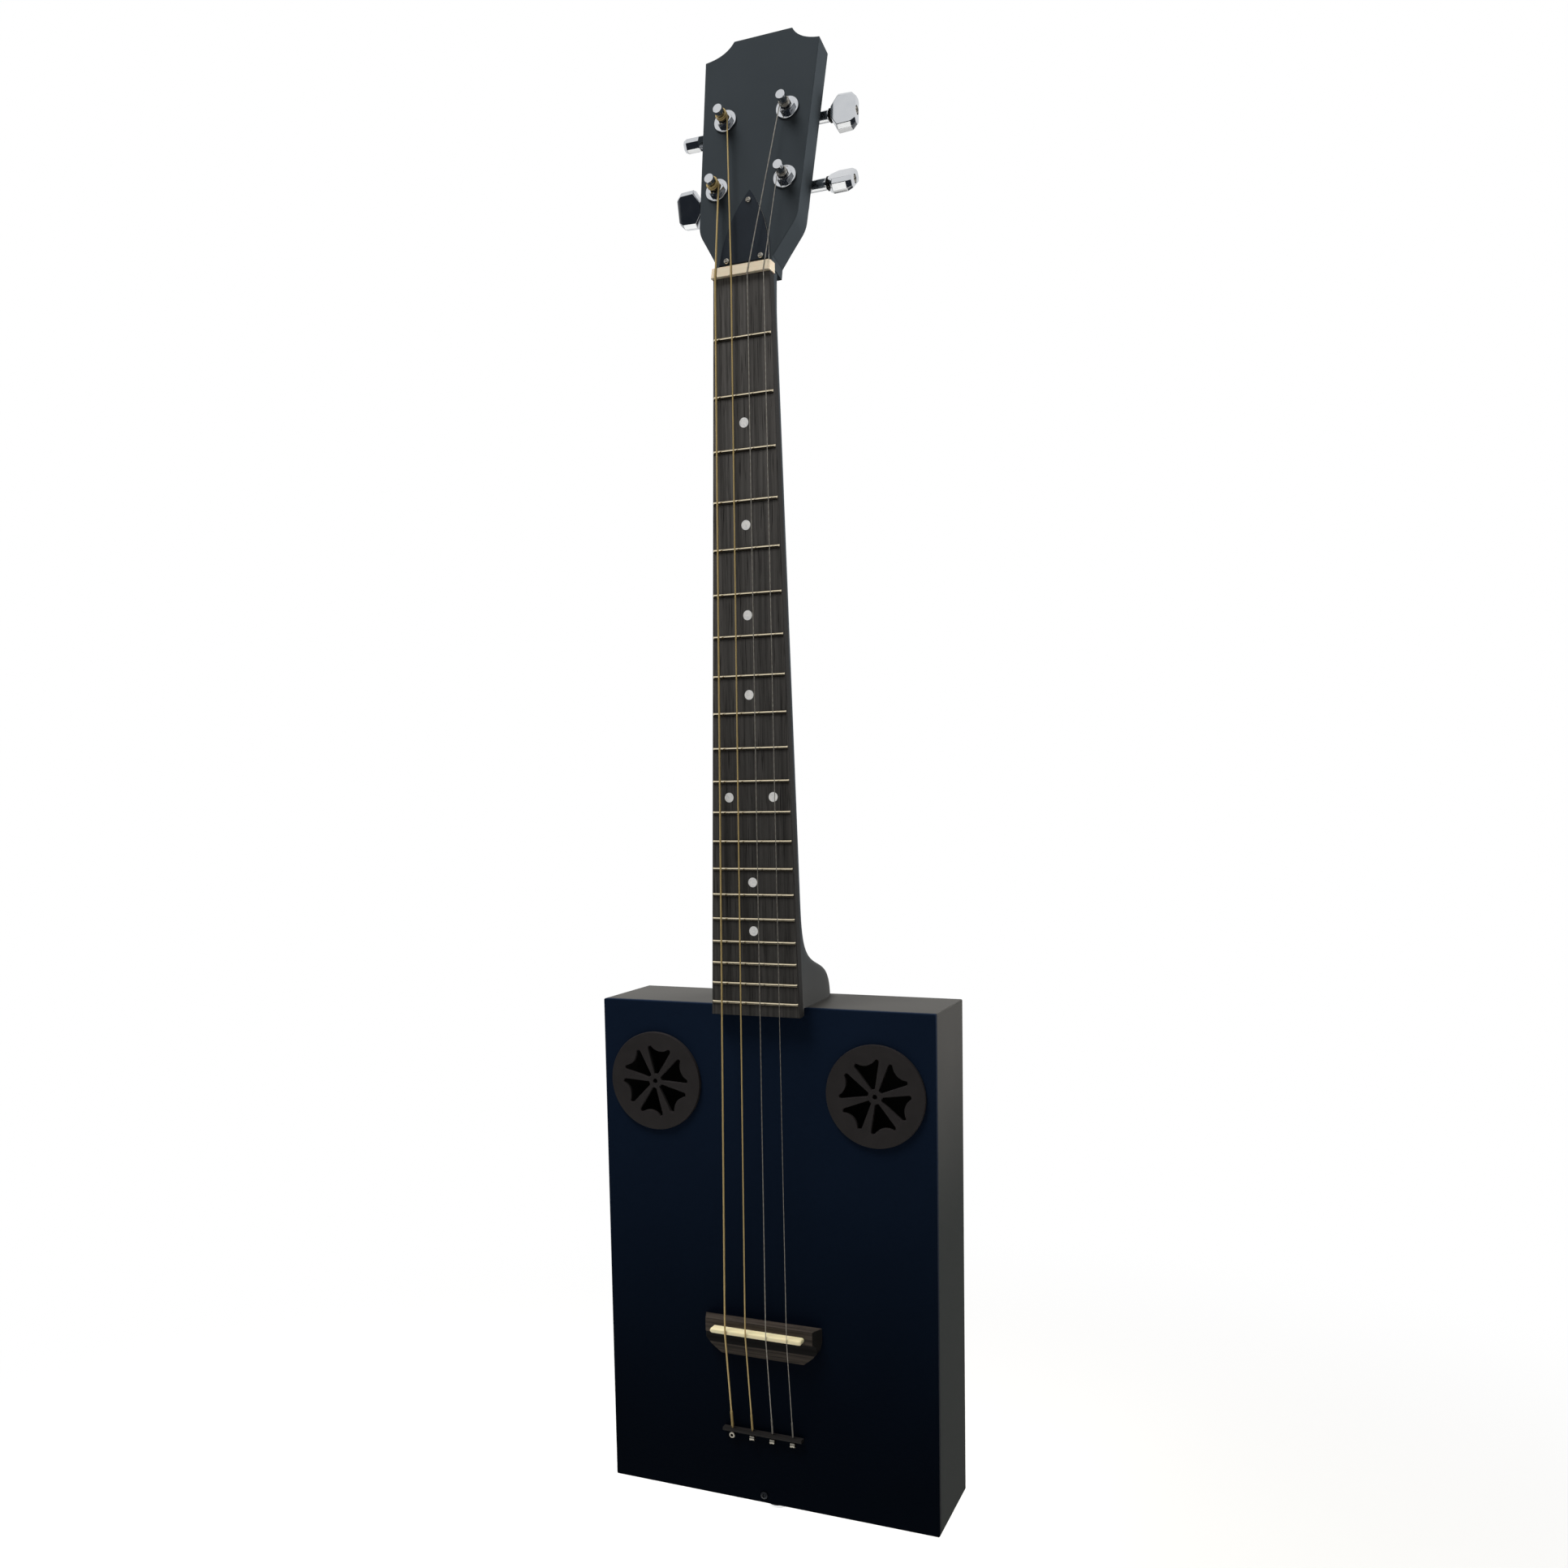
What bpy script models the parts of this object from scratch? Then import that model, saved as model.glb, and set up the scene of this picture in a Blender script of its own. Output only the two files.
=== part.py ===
"""Four-string box guitar, modelled as the separate pieces it is put together from.

Metres, +Z up the neck, the strings face -Y and +X is to the right of a viewer in front.
Pieces are drawn from the nut: its string edge is z = 0 and the body's face is y = 0.
The parent empty then moves everything so that the origin is the seat under the headstock's
shoulders, where the two arms of a hanger carry the instrument.
"""

import math

import bmesh
import bpy
from mathutils import Matrix, Vector

# Clearances
GAP = 0.0003
RUN_GAP = 0.0004

# Strings and scale
SCALE_LENGTH = 0.648
STRING_DIAMETERS = (0.00115, 0.00090, 0.00060, 0.00045)
NUT_STRING_SPACING = 0.0106
SADDLE_STRING_SPACING = 0.0143
SADDLE_SET_BACK = 0.0107
SADDLE_STRING_DRIFT = 0.0018
WRAP_TURNS = 2.25
WRAP_SPACING = 0.0003
LOOP_POINTS = 24

# Box body
BODY_WIDTH = 0.230
BODY_DEPTH = 0.0625
BODY_BELOW_SADDLE = 0.1180
PLATE_THICKNESS = 0.003
SIDE_THICKNESS = 0.009
CORNER_RADIUS = 0.002
EDGE_RADIUS = 0.0012
BLOCK_WIDTH = 0.064
NECK_BLOCK_LENGTH = 0.040
TAIL_BLOCK_LENGTH = 0.025
BEAM_WIDTH = 0.032
BEAM_DEPTH = 0.018
BEAM_RELIEF = 0.008
BRACE_WIDTH = 0.008
BRACE_DEPTH = 0.010
BRIDGE_PLATE_THICKNESS = 0.003
LINE_DRIFT = 0.0043

# Neck, fretboard and nut
FRET_COUNT = 20
FRETBOARD_RISE = 0.0095
FRETBOARD_THICKNESS = 0.006
FRETBOARD_NUT_WIDTH = 0.0376
FRETBOARD_END_WIDTH = 0.0604
FRETBOARD_BEYOND_FRETS = 0.008
BODY_BEYOND_FRETS = 0.003
FRET_CROWN_WIDTH = 0.0024
FRET_CROWN_HEIGHT = 0.0010
FRET_TANG_DEPTH = 0.0016
FRET_END_INSET = 0.0007
DOT_RADIUS = 0.003
DOT_DEPTH = 0.0012
DOUBLE_DOT_REACH = 0.015
NECK_DEPTH_AT_NUT = 0.0138
NECK_DEPTH_AT_HEEL = 0.0163
HEEL_LENGTH = 0.067
HEEL_INSET = 0.0012
TENON_WIDTH = 0.024
TENON_LENGTH = 0.030
TENON_INSET = 0.010
NUT_WIDTH = 0.039
NUT_THICKNESS = 0.006
NUT_RISE = 0.0028
NUT_ROUND = 0.0018
TRUSS_ROD_RADIUS = 0.0025
TRUSS_NUT_RADIUS = 0.0035
TRUSS_NUT_LENGTH = 0.010
TRUSS_ROD_STOP = 0.030

# Headstock, in its own tilted frame: x across, z up its face from the nut
HEAD_TILT = math.radians(13.0)
HEAD_RISE = 0.0062
HEAD_THICKNESS = 0.015
HEAD_HEIGHT = 0.1629
HEAD_TOP_HALF = 0.0197
HEAD_EAR_HALF = 0.0386
HEAD_EAR_HEIGHT = 0.1522
HEAD_SHOULDER_HALF = 0.0328
HEAD_SHOULDER_HEIGHT = 0.0342
HEAD_WAIST_HEIGHT = 0.011
HEAD_SHOULDER_ROUND = 0.005
COVER_HALF = 0.0164
COVER_LOW = 0.0085
COVER_HEIGHT = 0.0485
COVER_THICKNESS = 0.0014

# Tuning machines, one to a string: post places across and up the headstock's face
POST_PLACES = ((-0.0227, 0.0613), (-0.0209, 0.1077), (0.0209, 0.1077), (0.0227, 0.0613))
BUTTON_TURNS = (math.radians(25), math.radians(-50), math.radians(8), math.radians(-39))
POST_RADIUS = 0.0030
POST_WAIST_RADIUS = 0.0025
POST_HEIGHT = 0.0125
POST_CAP = 0.0027
BUSHING_WALL = 0.0015
BUSHING_SLEEVE = 0.008
BUSHING_HEX_RADIUS = 0.0056
BUSHING_HEX_HEIGHT = 0.0022
WASHER_RADIUS = 0.0074
WASHER_THICKNESS = 0.0010
GEAR_TEETH = 14
GEAR_CENTRE = 0.0068
GEAR_WIDTH = 0.0044
WORM_RADIUS = 0.0023
WORM_ADDENDUM = 0.00055
WORM_DEDENDUM = 0.00080
WORM_LENGTH = 0.0064
WORM_DEPTH = 0.0065
TOOTH_THICKNESS = 0.00082
SHAFT_RADIUS = 0.0018
HOUSING_WALL = 0.0012
BASE_THICKNESS = 0.0015
BASE_TAB = 0.0060
BARREL_WALL = 0.0014
BARREL_REACH = 0.0190
COLLAR_RADIUS = 0.0040
COLLAR_THICKNESS = 0.0014
BUTTON_LENGTH = 0.0160
BUTTON_HALF_WIDTH = 0.0112
BUTTON_THICKNESS = 0.0086
BUTTON_FACE_SHARE = 0.66
BUTTON_EDGE_SHARE = 0.44
BUTTON_SHAFT_BITE = 0.0115
BUTTON_SCREW_RADIUS = 0.0024

# Fittings on the body's face
GRILLE_RADIUS = 0.0325
GRILLE_THICKNESS = 0.0020
GRILLE_FROM_SIDE = 0.0386
GRILLE_FROM_TOP = 0.053
GRILLE_TURNS = (math.radians(-9), math.radians(14.5))
GRILLE_SLOTS = 6
GRILLE_SLOT_REACH = 0.0226
GRILLE_SLOT_ROOT = 0.0046
GRILLE_SPIGOT_WALL = 0.0015
GRILLE_SPIGOT_DEPTH = 0.0025
SOUND_HOLE_RADIUS = 0.0265
BRIDGE_LENGTH = 0.082
BRIDGE_BREADTH = 0.0248
BRIDGE_HEIGHT = 0.0085
BRIDGE_LEDGE_HEIGHT = 0.0045
BRIDGE_TOE_HEIGHT = 0.0028
BRIDGE_DECK = 0.0090
BRIDGE_COVE = 0.0060
BRIDGE_END_SLOPE = 0.0035
BRIDGE_TOE_HALF = 0.029
BRIDGE_ABOVE_SADDLE = 0.0058
SADDLE_LENGTH = 0.0640
SADDLE_THICKNESS = 0.0032
SADDLE_CREST = 0.0142
SADDLE_SEAT_DEPTH = 0.0050
TAIL_BAR_LENGTH = 0.0560
TAIL_BAR_THICKNESS = 0.0022
TAIL_BAR_HEIGHT = 0.0042
TAIL_BAR_FROM_BOTTOM = 0.0478
TAIL_STRING_HEIGHT = 0.0023
BALL_RADIUS = 0.0020
BALL_LENGTH = 0.0034
BALL_BORE_RADIUS = 0.0007
FACE_SCREW_FROM_BOTTOM = 0.0053
FACE_SCREW_RADIUS = 0.0025
STRAP_BUTTON_RADIUS = 0.0072
STRAP_BUTTON_LENGTH = 0.0125
STRAP_BUTTON_DEPTH = 0.0235
STRAP_SCREW_RADIUS = 0.0021
STRAP_SCREW_LENGTH = 0.034
SMALL_SCREW_RADIUS = 0.0009
SMALL_SCREW_HEAD = 0.0018
SMALL_SCREW_LENGTH = 0.0065


def fret_z(number):
    """Height of a fret below the nut, by the twelfth root of two."""
    return -SCALE_LENGTH * (1.0 - 2.0 ** (-number / 12.0))


# Places that follow from the sizes above
FRETBOARD_END = fret_z(FRET_COUNT) - FRETBOARD_BEYOND_FRETS
BODY_TOP = fret_z(FRET_COUNT) - BODY_BEYOND_FRETS
SADDLE_Z = -(SCALE_LENGTH + SADDLE_SET_BACK)
BODY_BOTTOM = SADDLE_Z - BODY_BELOW_SADDLE
BODY_HALF = BODY_WIDTH / 2
INNER_FRONT = PLATE_THICKNESS + GAP
INNER_BACK = BODY_DEPTH - PLATE_THICKNESS - GAP
INNER_TOP = BODY_TOP - SIDE_THICKNESS - GAP
INNER_BOTTOM = BODY_BOTTOM + SIDE_THICKNESS + GAP
BOARD_TOP = -FRETBOARD_RISE
BOARD_BACK = BOARD_TOP + FRETBOARD_THICKNESS
NECK_FACE = BOARD_BACK + GAP
HEEL_DEPTH = BODY_DEPTH - HEEL_INSET - NECK_FACE
NUT_TOP = BOARD_TOP - NUT_RISE
TAIL_BAR_Z = BODY_BOTTOM + TAIL_BAR_FROM_BOTTOM
HEAD_FRAME = Matrix.Translation((0, -HEAD_RISE, 0)) @ Matrix.Rotation(-HEAD_TILT, 4, "X")
BUSHING_TOP = WASHER_THICKNESS + BUSHING_HEX_HEIGHT + 2 * GAP
BUSHING_BORE = POST_RADIUS + RUN_GAP
BUSHING_RADIUS = BUSHING_BORE + BUSHING_WALL
GEAR_RADIUS = GEAR_CENTRE - WORM_RADIUS
WORM_PITCH = 2 * math.pi * GEAR_RADIUS / GEAR_TEETH
GEAR_TIP = GEAR_CENTRE - WORM_RADIUS + WORM_DEDENDUM - GAP
GEAR_ROOT = GEAR_RADIUS - WORM_ADDENDUM - GAP
BUTTON_START = BARREL_REACH + COLLAR_THICKNESS + 2 * GAP
SHOULDER_SEAT = (HEAD_WAIST_HEIGHT + HEAD_SHOULDER_HEIGHT) / 2
HANGER_SEAT = HEAD_FRAME @ Vector((0, HEAD_THICKNESS / 2, SHOULDER_SEAT))


def board_half_width(z):
    """Half the fretboard's width at a height below the nut."""
    share = z / FRETBOARD_END
    return (FRETBOARD_NUT_WIDTH + (FRETBOARD_END_WIDTH - FRETBOARD_NUT_WIDTH) * share) / 2


def line_x(z):
    """Centre line of the fittings on the body, which runs a little towards the bass side."""
    return -LINE_DRIFT * max(0.0, (BODY_TOP - z) / (BODY_TOP - BODY_BOTTOM))


def string_place(number, spacing, centre):
    """Place of one string across the instrument, where neighbours lie one spacing apart."""
    return centre + (number - (len(STRING_DIAMETERS) - 1) / 2) * spacing


# Mesh tools

def clear_scene():
    for item in list(bpy.data.objects):
        bpy.data.objects.remove(item, do_unlink=True)


def finish(name, colour, roughness, metallic=0.0):
    """A plain material in the piece's own colour."""
    material = bpy.data.materials.new(name)
    material.use_nodes = True
    shader = material.node_tree.nodes["Principled BSDF"]
    shader.inputs["Base Color"].default_value = (*colour, 1.0)
    shader.inputs["Roughness"].default_value = roughness
    shader.inputs["Metallic"].default_value = metallic
    return material


def place(name, mesh, material, parent, turn=0.0):
    """Make the mesh a named piece under its parent, turned about its own X axis if asked."""
    data = bpy.data.meshes.new(name)
    bmesh.ops.recalc_face_normals(mesh, faces=mesh.faces)
    mesh.to_mesh(data)
    mesh.free()
    data.materials.append(material)
    data.shade_smooth()
    data.set_sharp_from_angle(angle=math.radians(32))
    piece = bpy.data.objects.new(name, data)
    bpy.context.scene.collection.objects.link(piece)
    piece.parent = parent
    piece.rotation_euler.x = turn
    return piece


def frame_empty(name, parent, location, tilt=0.0):
    empty = bpy.data.objects.new(name, None)
    bpy.context.scene.collection.objects.link(empty)
    empty.parent = parent
    empty.location = location
    empty.rotation_euler.x = tilt
    return empty


def loft(rings):
    """Closed solid through rings of points: as many points in each, ends capped."""
    mesh = bmesh.new()
    rows = [[mesh.verts.new(point) for point in ring] for ring in rings]
    count = len(rows[0])
    for low, high in zip(rows, rows[1:]):
        for i in range(count):
            j = (i + 1) % count
            mesh.faces.new((low[i], low[j], high[j], high[i]))
    mesh.faces.new(rows[0])
    mesh.faces.new(rows[-1])
    bmesh.ops.recalc_face_normals(mesh, faces=mesh.faces)
    return mesh


def prism(outline, start, end):
    """Outline of (x, z) points carried from one depth y to another."""
    return loft([[(x, y, z) for x, z in outline] for y in (start, end)])


def block(low, high):
    """Box between two corners."""
    outline = ((low[0], low[2]), (high[0], low[2]), (high[0], high[2]), (low[0], high[2]))
    return prism(outline, low[1], high[1])


def along(axis, across, up, distance):
    """Point beside an axis: two offsets square to it and a distance along it."""
    if axis == "X":
        return (distance, across, up)
    if axis == "Y":
        return (across, distance, up)
    return (across, up, distance)


def ring(axis, radius, distance, sides, turn=0.0):
    points = []
    for i in range(sides):
        angle = turn + 2 * math.pi * i / sides
        points.append(along(axis, radius * math.cos(angle), radius * math.sin(angle), distance))
    return points


def turned(axis, profile, sides=16):
    """Solid of revolution from (radius, distance) pairs, in order along the axis."""
    return loft([ring(axis, radius, distance, sides) for radius, distance in profile])


def turned_ring(axis, profile, sides=16):
    """Bored solid of revolution from a closed loop of (radius, distance) pairs."""
    mesh = bmesh.new()
    rows = [[mesh.verts.new(p) for p in ring(axis, r, d, sides)] for r, d in profile]
    for low, high in zip(rows, rows[1:] + rows[:1]):
        for i in range(sides):
            j = (i + 1) % sides
            mesh.faces.new((low[i], low[j], high[j], high[i]))
    bmesh.ops.recalc_face_normals(mesh, faces=mesh.faces)
    return mesh


def rod(axis, radius, start, end, at=(0, 0, 0), sides=12):
    """Plain cylinder along an axis through a point."""
    mesh = turned(axis, ((radius, start), (radius, end)), sides)
    bmesh.ops.translate(mesh, vec=at, verts=mesh.verts)
    return mesh


def moved(mesh, offset):
    bmesh.ops.translate(mesh, vec=offset, verts=mesh.verts)
    return mesh


def gathered(meshes):
    """Several separate solids in one mesh."""
    result = bmesh.new()
    for mesh in meshes:
        data = bpy.data.meshes.new("part")
        mesh.to_mesh(data)
        mesh.free()
        result.from_mesh(data)
        bpy.data.meshes.remove(data)
    return result


def combine(first, second, operation):
    """Boolean of two closed meshes."""
    pair = []
    for mesh in (first, second):
        bmesh.ops.recalc_face_normals(mesh, faces=mesh.faces)
        data = bpy.data.meshes.new("work")
        mesh.to_mesh(data)
        mesh.free()
        item = bpy.data.objects.new("work", data)
        bpy.context.scene.collection.objects.link(item)
        pair.append(item)
    modifier = pair[0].modifiers.new("boolean", "BOOLEAN")
    modifier.operation = operation
    modifier.solver = "EXACT"
    modifier.object = pair[1]
    graph = bpy.context.evaluated_depsgraph_get()
    data = bpy.data.meshes.new_from_object(pair[0].evaluated_get(graph))
    result = bmesh.new()
    result.from_mesh(data)
    bpy.data.meshes.remove(data)
    for item in pair:
        bpy.data.objects.remove(item, do_unlink=True)
    bmesh.ops.dissolve_degenerate(result, edges=result.edges, dist=1e-7)
    return result


def cut(mesh, cutter):
    return combine(mesh, cutter, "DIFFERENCE")


def join(mesh, other):
    return combine(mesh, other, "UNION")


def slice_off(mesh, point, normal):
    """Plane cut: what lies on the normal's side is taken away and the cut is closed."""
    geometry = mesh.verts[:] + mesh.edges[:] + mesh.faces[:]
    result = bmesh.ops.bisect_plane(mesh, geom=geometry, plane_co=point, plane_no=normal,
                                    clear_outer=True)
    rim = [item for item in result["geom_cut"] if isinstance(item, bmesh.types.BMEdge)]
    bmesh.ops.holes_fill(mesh, edges=rim, sides=0)


def soften(mesh, test, width, segments=1):
    """Round the edges whose two ends both pass the test."""
    edges = [edge for edge in mesh.edges if all(test(vertex.co) for vertex in edge.verts)]
    bmesh.ops.bevel(mesh, geom=edges, offset=width, segments=segments, profile=0.5,
                    affect="EDGES", clamp_overlap=True)
    return mesh


def curve_points(start, control, end, steps):
    """Points of a curve bent towards one control point, without its first point."""
    points = []
    for i in range(1, steps + 1):
        t = i / steps
        point = (1 - t) ** 2 * Vector(start) + 2 * t * (1 - t) * Vector(control)
        points.append(tuple(point + t * t * Vector(end)))
    return points


def arc(centre, radius, start, end, steps):
    """Points of a round corner, both ends included, angles in degrees."""
    points = []
    for i in range(steps + 1):
        angle = math.radians(start + (end - start) * i / steps)
        points.append((centre[0] + radius * math.cos(angle), centre[1] + radius * math.sin(angle)))
    return points


def rounded_box(left, right, bottom, top, radius, steps=2):
    """Outline of a rectangle with round corners, in (x, z)."""
    outline = arc((right - radius, bottom + radius), radius, -90, 0, steps)
    outline += arc((right - radius, top - radius), radius, 0, 90, steps)
    outline += arc((left + radius, top - radius), radius, 90, 180, steps)
    outline += arc((left + radius, bottom + radius), radius, 180, 270, steps)
    return outline


def mirrored(half):
    """Whole outline from its right half, listed from the bottom to the top."""
    return half + [(-x, z) for x, z in reversed(half)]


# Body: front and back plates glued to four sides, with blocks and a centre beam inside

HEEL_BACK = NECK_FACE + HEEL_DEPTH
TENON_FRONT = TENON_INSET
TENON_BACK = HEEL_BACK - TENON_INSET
BEAM_TOP = INNER_TOP - NECK_BLOCK_LENGTH - GAP
BEAM_BOTTOM = INNER_BOTTOM + TAIL_BLOCK_LENGTH + GAP
STRAP_X = line_x(BODY_BOTTOM)
FACE_SCREW_Z = BODY_BOTTOM + FACE_SCREW_FROM_BOTTOM


def grille_places():
    across = BODY_HALF - GRILLE_FROM_SIDE
    return [(-across, BODY_TOP - GRILLE_FROM_TOP), (across, BODY_TOP - GRILLE_FROM_TOP)]


def face_screw_hole():
    radius = SMALL_SCREW_RADIUS + GAP
    end = SMALL_SCREW_LENGTH + 2 * GAP
    return rod("Y", radius, -PLATE_THICKNESS, end, (line_x(FACE_SCREW_Z), 0, FACE_SCREW_Z), 8)


def strap_screw_hole():
    radius = STRAP_SCREW_RADIUS + GAP
    top = BODY_BOTTOM - STRAP_BUTTON_LENGTH + STRAP_SCREW_LENGTH + GAP
    return rod("Z", radius, BODY_BOTTOM - SIDE_THICKNESS, top, (STRAP_X, STRAP_BUTTON_DEPTH, 0), 12)


def body_plate(outer, inner):
    """One of the two large plates, its outer rim eased."""
    outline = rounded_box(-BODY_HALF, BODY_HALF, BODY_BOTTOM, BODY_TOP, CORNER_RADIUS)
    plate = prism(outline, outer, inner)
    return soften(plate, lambda p: abs(p.y - outer) < 1e-6, EDGE_RADIUS, 2)


def soundboard():
    plate = body_plate(0.0, PLATE_THICKNESS)
    holes = [face_screw_hole()]
    for x, z in grille_places():
        holes.append(rod("Y", SOUND_HOLE_RADIUS, -PLATE_THICKNESS, 2 * PLATE_THICKNESS, (x, 0, z), 32))
    return cut(plate, gathered(holes))


def long_side(side):
    """Left or right wall, which runs the whole height and laps the ends of the others."""
    outer = BODY_HALF - CORNER_RADIUS
    inner = BODY_HALF - SIDE_THICKNESS
    half = [(inner, BODY_BOTTOM)]
    half += arc((outer, BODY_BOTTOM + CORNER_RADIUS), CORNER_RADIUS, -90, 0, 2)
    half += arc((outer, BODY_TOP - CORNER_RADIUS), CORNER_RADIUS, 0, 90, 2)
    half.append((inner, BODY_TOP))
    return prism([(side * x, z) for x, z in half], INNER_FRONT, INNER_BACK)


def end_wall(low):
    """Top or bottom wall, fitted between the long sides."""
    half = BODY_HALF - SIDE_THICKNESS - GAP
    return block((-half, INNER_FRONT, low), (half, INNER_BACK, low + SIDE_THICKNESS))


def tenon(clearance):
    """The neck's tenon, or with a clearance the mortise for it."""
    half = TENON_WIDTH / 2 + clearance
    low = (-half, TENON_FRONT - clearance, BODY_TOP - TENON_LENGTH - clearance)
    high = (half, TENON_BACK + clearance, BODY_TOP + SIDE_THICKNESS / 2)
    return block(low, high)


def body_block(centre, low, length):
    half = BLOCK_WIDTH / 2
    return block((centre - half, INNER_FRONT, low), (centre + half, INNER_BACK, low + length))


def centre_beam():
    """Bar from the neck block to the tail block, cut back so that the soundboard stays free."""
    relief = INNER_FRONT + BEAM_RELIEF
    tail_pad = TAIL_BAR_Z + 2 * BEAM_RELIEF
    profile = [(BEAM_TOP, INNER_FRONT + BEAM_DEPTH), (BEAM_TOP, INNER_FRONT),
               (BEAM_TOP - BEAM_RELIEF, INNER_FRONT), (BEAM_TOP - 2 * BEAM_RELIEF, relief),
               (tail_pad, relief), (tail_pad - BEAM_RELIEF, INNER_FRONT),
               (BEAM_BOTTOM, INNER_FRONT), (BEAM_BOTTOM, INNER_FRONT + BEAM_DEPTH)]
    sides = []
    for half in (-BEAM_WIDTH / 2, BEAM_WIDTH / 2):
        sides.append([(line_x(z) + half, y, z) for z, y in profile])
    return loft(sides)


def bridge_plate():
    margin = BRIDGE_PLATE_THICKNESS
    x = line_x(SADDLE_Z)
    half = BRIDGE_LENGTH / 2 + margin
    top = SADDLE_Z + BRIDGE_ABOVE_SADDLE + margin
    low = (x - half, INNER_FRONT, top - BRIDGE_BREADTH - 2 * margin)
    return block(low, (x + half, INNER_FRONT + BRIDGE_PLATE_THICKNESS, top))


def back_brace(third):
    """Bar across the back plate, a number of thirds down the box."""
    half = BODY_HALF - SIDE_THICKNESS - BRACE_WIDTH
    z = INNER_TOP + (INNER_BOTTOM - INNER_TOP) * third / 3
    low = (-half, INNER_BACK - BRACE_DEPTH, z - BRACE_WIDTH / 2)
    bar = block(low, (half, INNER_BACK, z + BRACE_WIDTH / 2))
    return soften(bar, lambda p: p.y < INNER_BACK - GAP, BRACE_WIDTH / 4)


def make_body(root, wood, lacquer):
    place("soundboard", soundboard(), lacquer, root)
    place("back_plate", body_plate(BODY_DEPTH, BODY_DEPTH - PLATE_THICKNESS), lacquer, root)
    place("side_left", long_side(-1), lacquer, root)
    place("side_right", long_side(1), lacquer, root)
    place("side_top", cut(end_wall(BODY_TOP - SIDE_THICKNESS), tenon(GAP)), lacquer, root)
    holes = gathered([strap_screw_hole(), face_screw_hole()])
    place("side_bottom", cut(end_wall(BODY_BOTTOM), holes), lacquer, root)
    neck_block = body_block(0.0, INNER_TOP - NECK_BLOCK_LENGTH, NECK_BLOCK_LENGTH)
    place("neck_block", cut(neck_block, tenon(GAP)), wood, root)
    tail_block = body_block(STRAP_X, INNER_BOTTOM, TAIL_BLOCK_LENGTH)
    place("tail_block", cut(tail_block, strap_screw_hole()), wood, root)
    place("centre_beam", centre_beam(), wood, root)
    place("bridge_plate", bridge_plate(), wood, root)
    place("back_brace_upper", back_brace(1), wood, root)
    place("back_brace_lower", back_brace(2), wood, root)


# Neck: one carved piece with heel, tenon and tilted headstock

NECK_CURVE_STEPS = 14
HEEL_STEPS = 12
HEEL_HOLLOW = 0.13
HEEL_SWELL = 0.546
NECK_ROUNDNESS = 2.3
HEEL_ROUNDNESS = 8.0
HEEL_SQUARING = 1.3
HEEL_TAPER = 0.064
SOCKET_TOP = 0.008
TRUSS_ROD_DEPTH = 0.0068
TRUSS_Y = NECK_FACE + TRUSS_ROD_DEPTH
TRUSS_LOW = BODY_TOP + TRUSS_ROD_STOP
TRUSS_HIGH = 0.0125
TRUSS_POCKET_DEPTH = 0.0110
TRUSS_POCKET_TOP = 0.030
COVER_SCREWS = ((0.0, 0.0497), (-0.0113, 0.0110), (0.0113, 0.0110))


def neck_section(z, depth, roundness, taper):
    """One slice of the neck: flat under the fretboard, rounded behind."""
    half = board_half_width(z) - GAP
    points = []
    for i in range(NECK_CURVE_STEPS + 1):
        angle = math.pi * i / NECK_CURVE_STEPS
        back = max(0.0, math.sin(angle)) ** (2 / roundness)
        across = math.copysign(abs(math.cos(angle)) ** (2 / roundness), math.cos(angle))
        points.append((half * across * (1 - taper * back), NECK_FACE + depth * back, z))
    return points


def heel_curve(t):
    """Height and depth of the heel's back, an S-curve from the shaft to the body."""
    start = Vector((BODY_TOP + HEEL_LENGTH, NECK_DEPTH_AT_HEEL))
    hollow = Vector((BODY_TOP + HEEL_LENGTH * HEEL_HOLLOW, NECK_DEPTH_AT_HEEL))
    swell = Vector((BODY_TOP + HEEL_LENGTH * HEEL_SWELL, HEEL_DEPTH))
    end = Vector((BODY_TOP + GAP, HEEL_DEPTH))
    s = 1 - t
    return s ** 3 * start + 3 * s * s * t * hollow + 3 * s * t * t * swell + t ** 3 * end


def neck_shaft():
    depth = NECK_DEPTH_AT_NUT
    slices = [neck_section(SOCKET_TOP, depth - HEAD_RISE / 5, 8.0, 0.0),
              neck_section(0.0, depth, 3.2, 0.0),
              neck_section(-5 * NUT_THICKNESS, depth, NECK_ROUNDNESS, 0.0)]
    for i in range(HEEL_STEPS + 1):
        z, depth = heel_curve(i / HEEL_STEPS)
        share = (depth - NECK_DEPTH_AT_HEEL) / (HEEL_DEPTH - NECK_DEPTH_AT_HEEL)
        roundness = NECK_ROUNDNESS + (HEEL_ROUNDNESS - NECK_ROUNDNESS) * share ** HEEL_SQUARING
        slices.append(neck_section(z, depth, roundness, HEEL_TAPER * share))
    return loft(slices)


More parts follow.
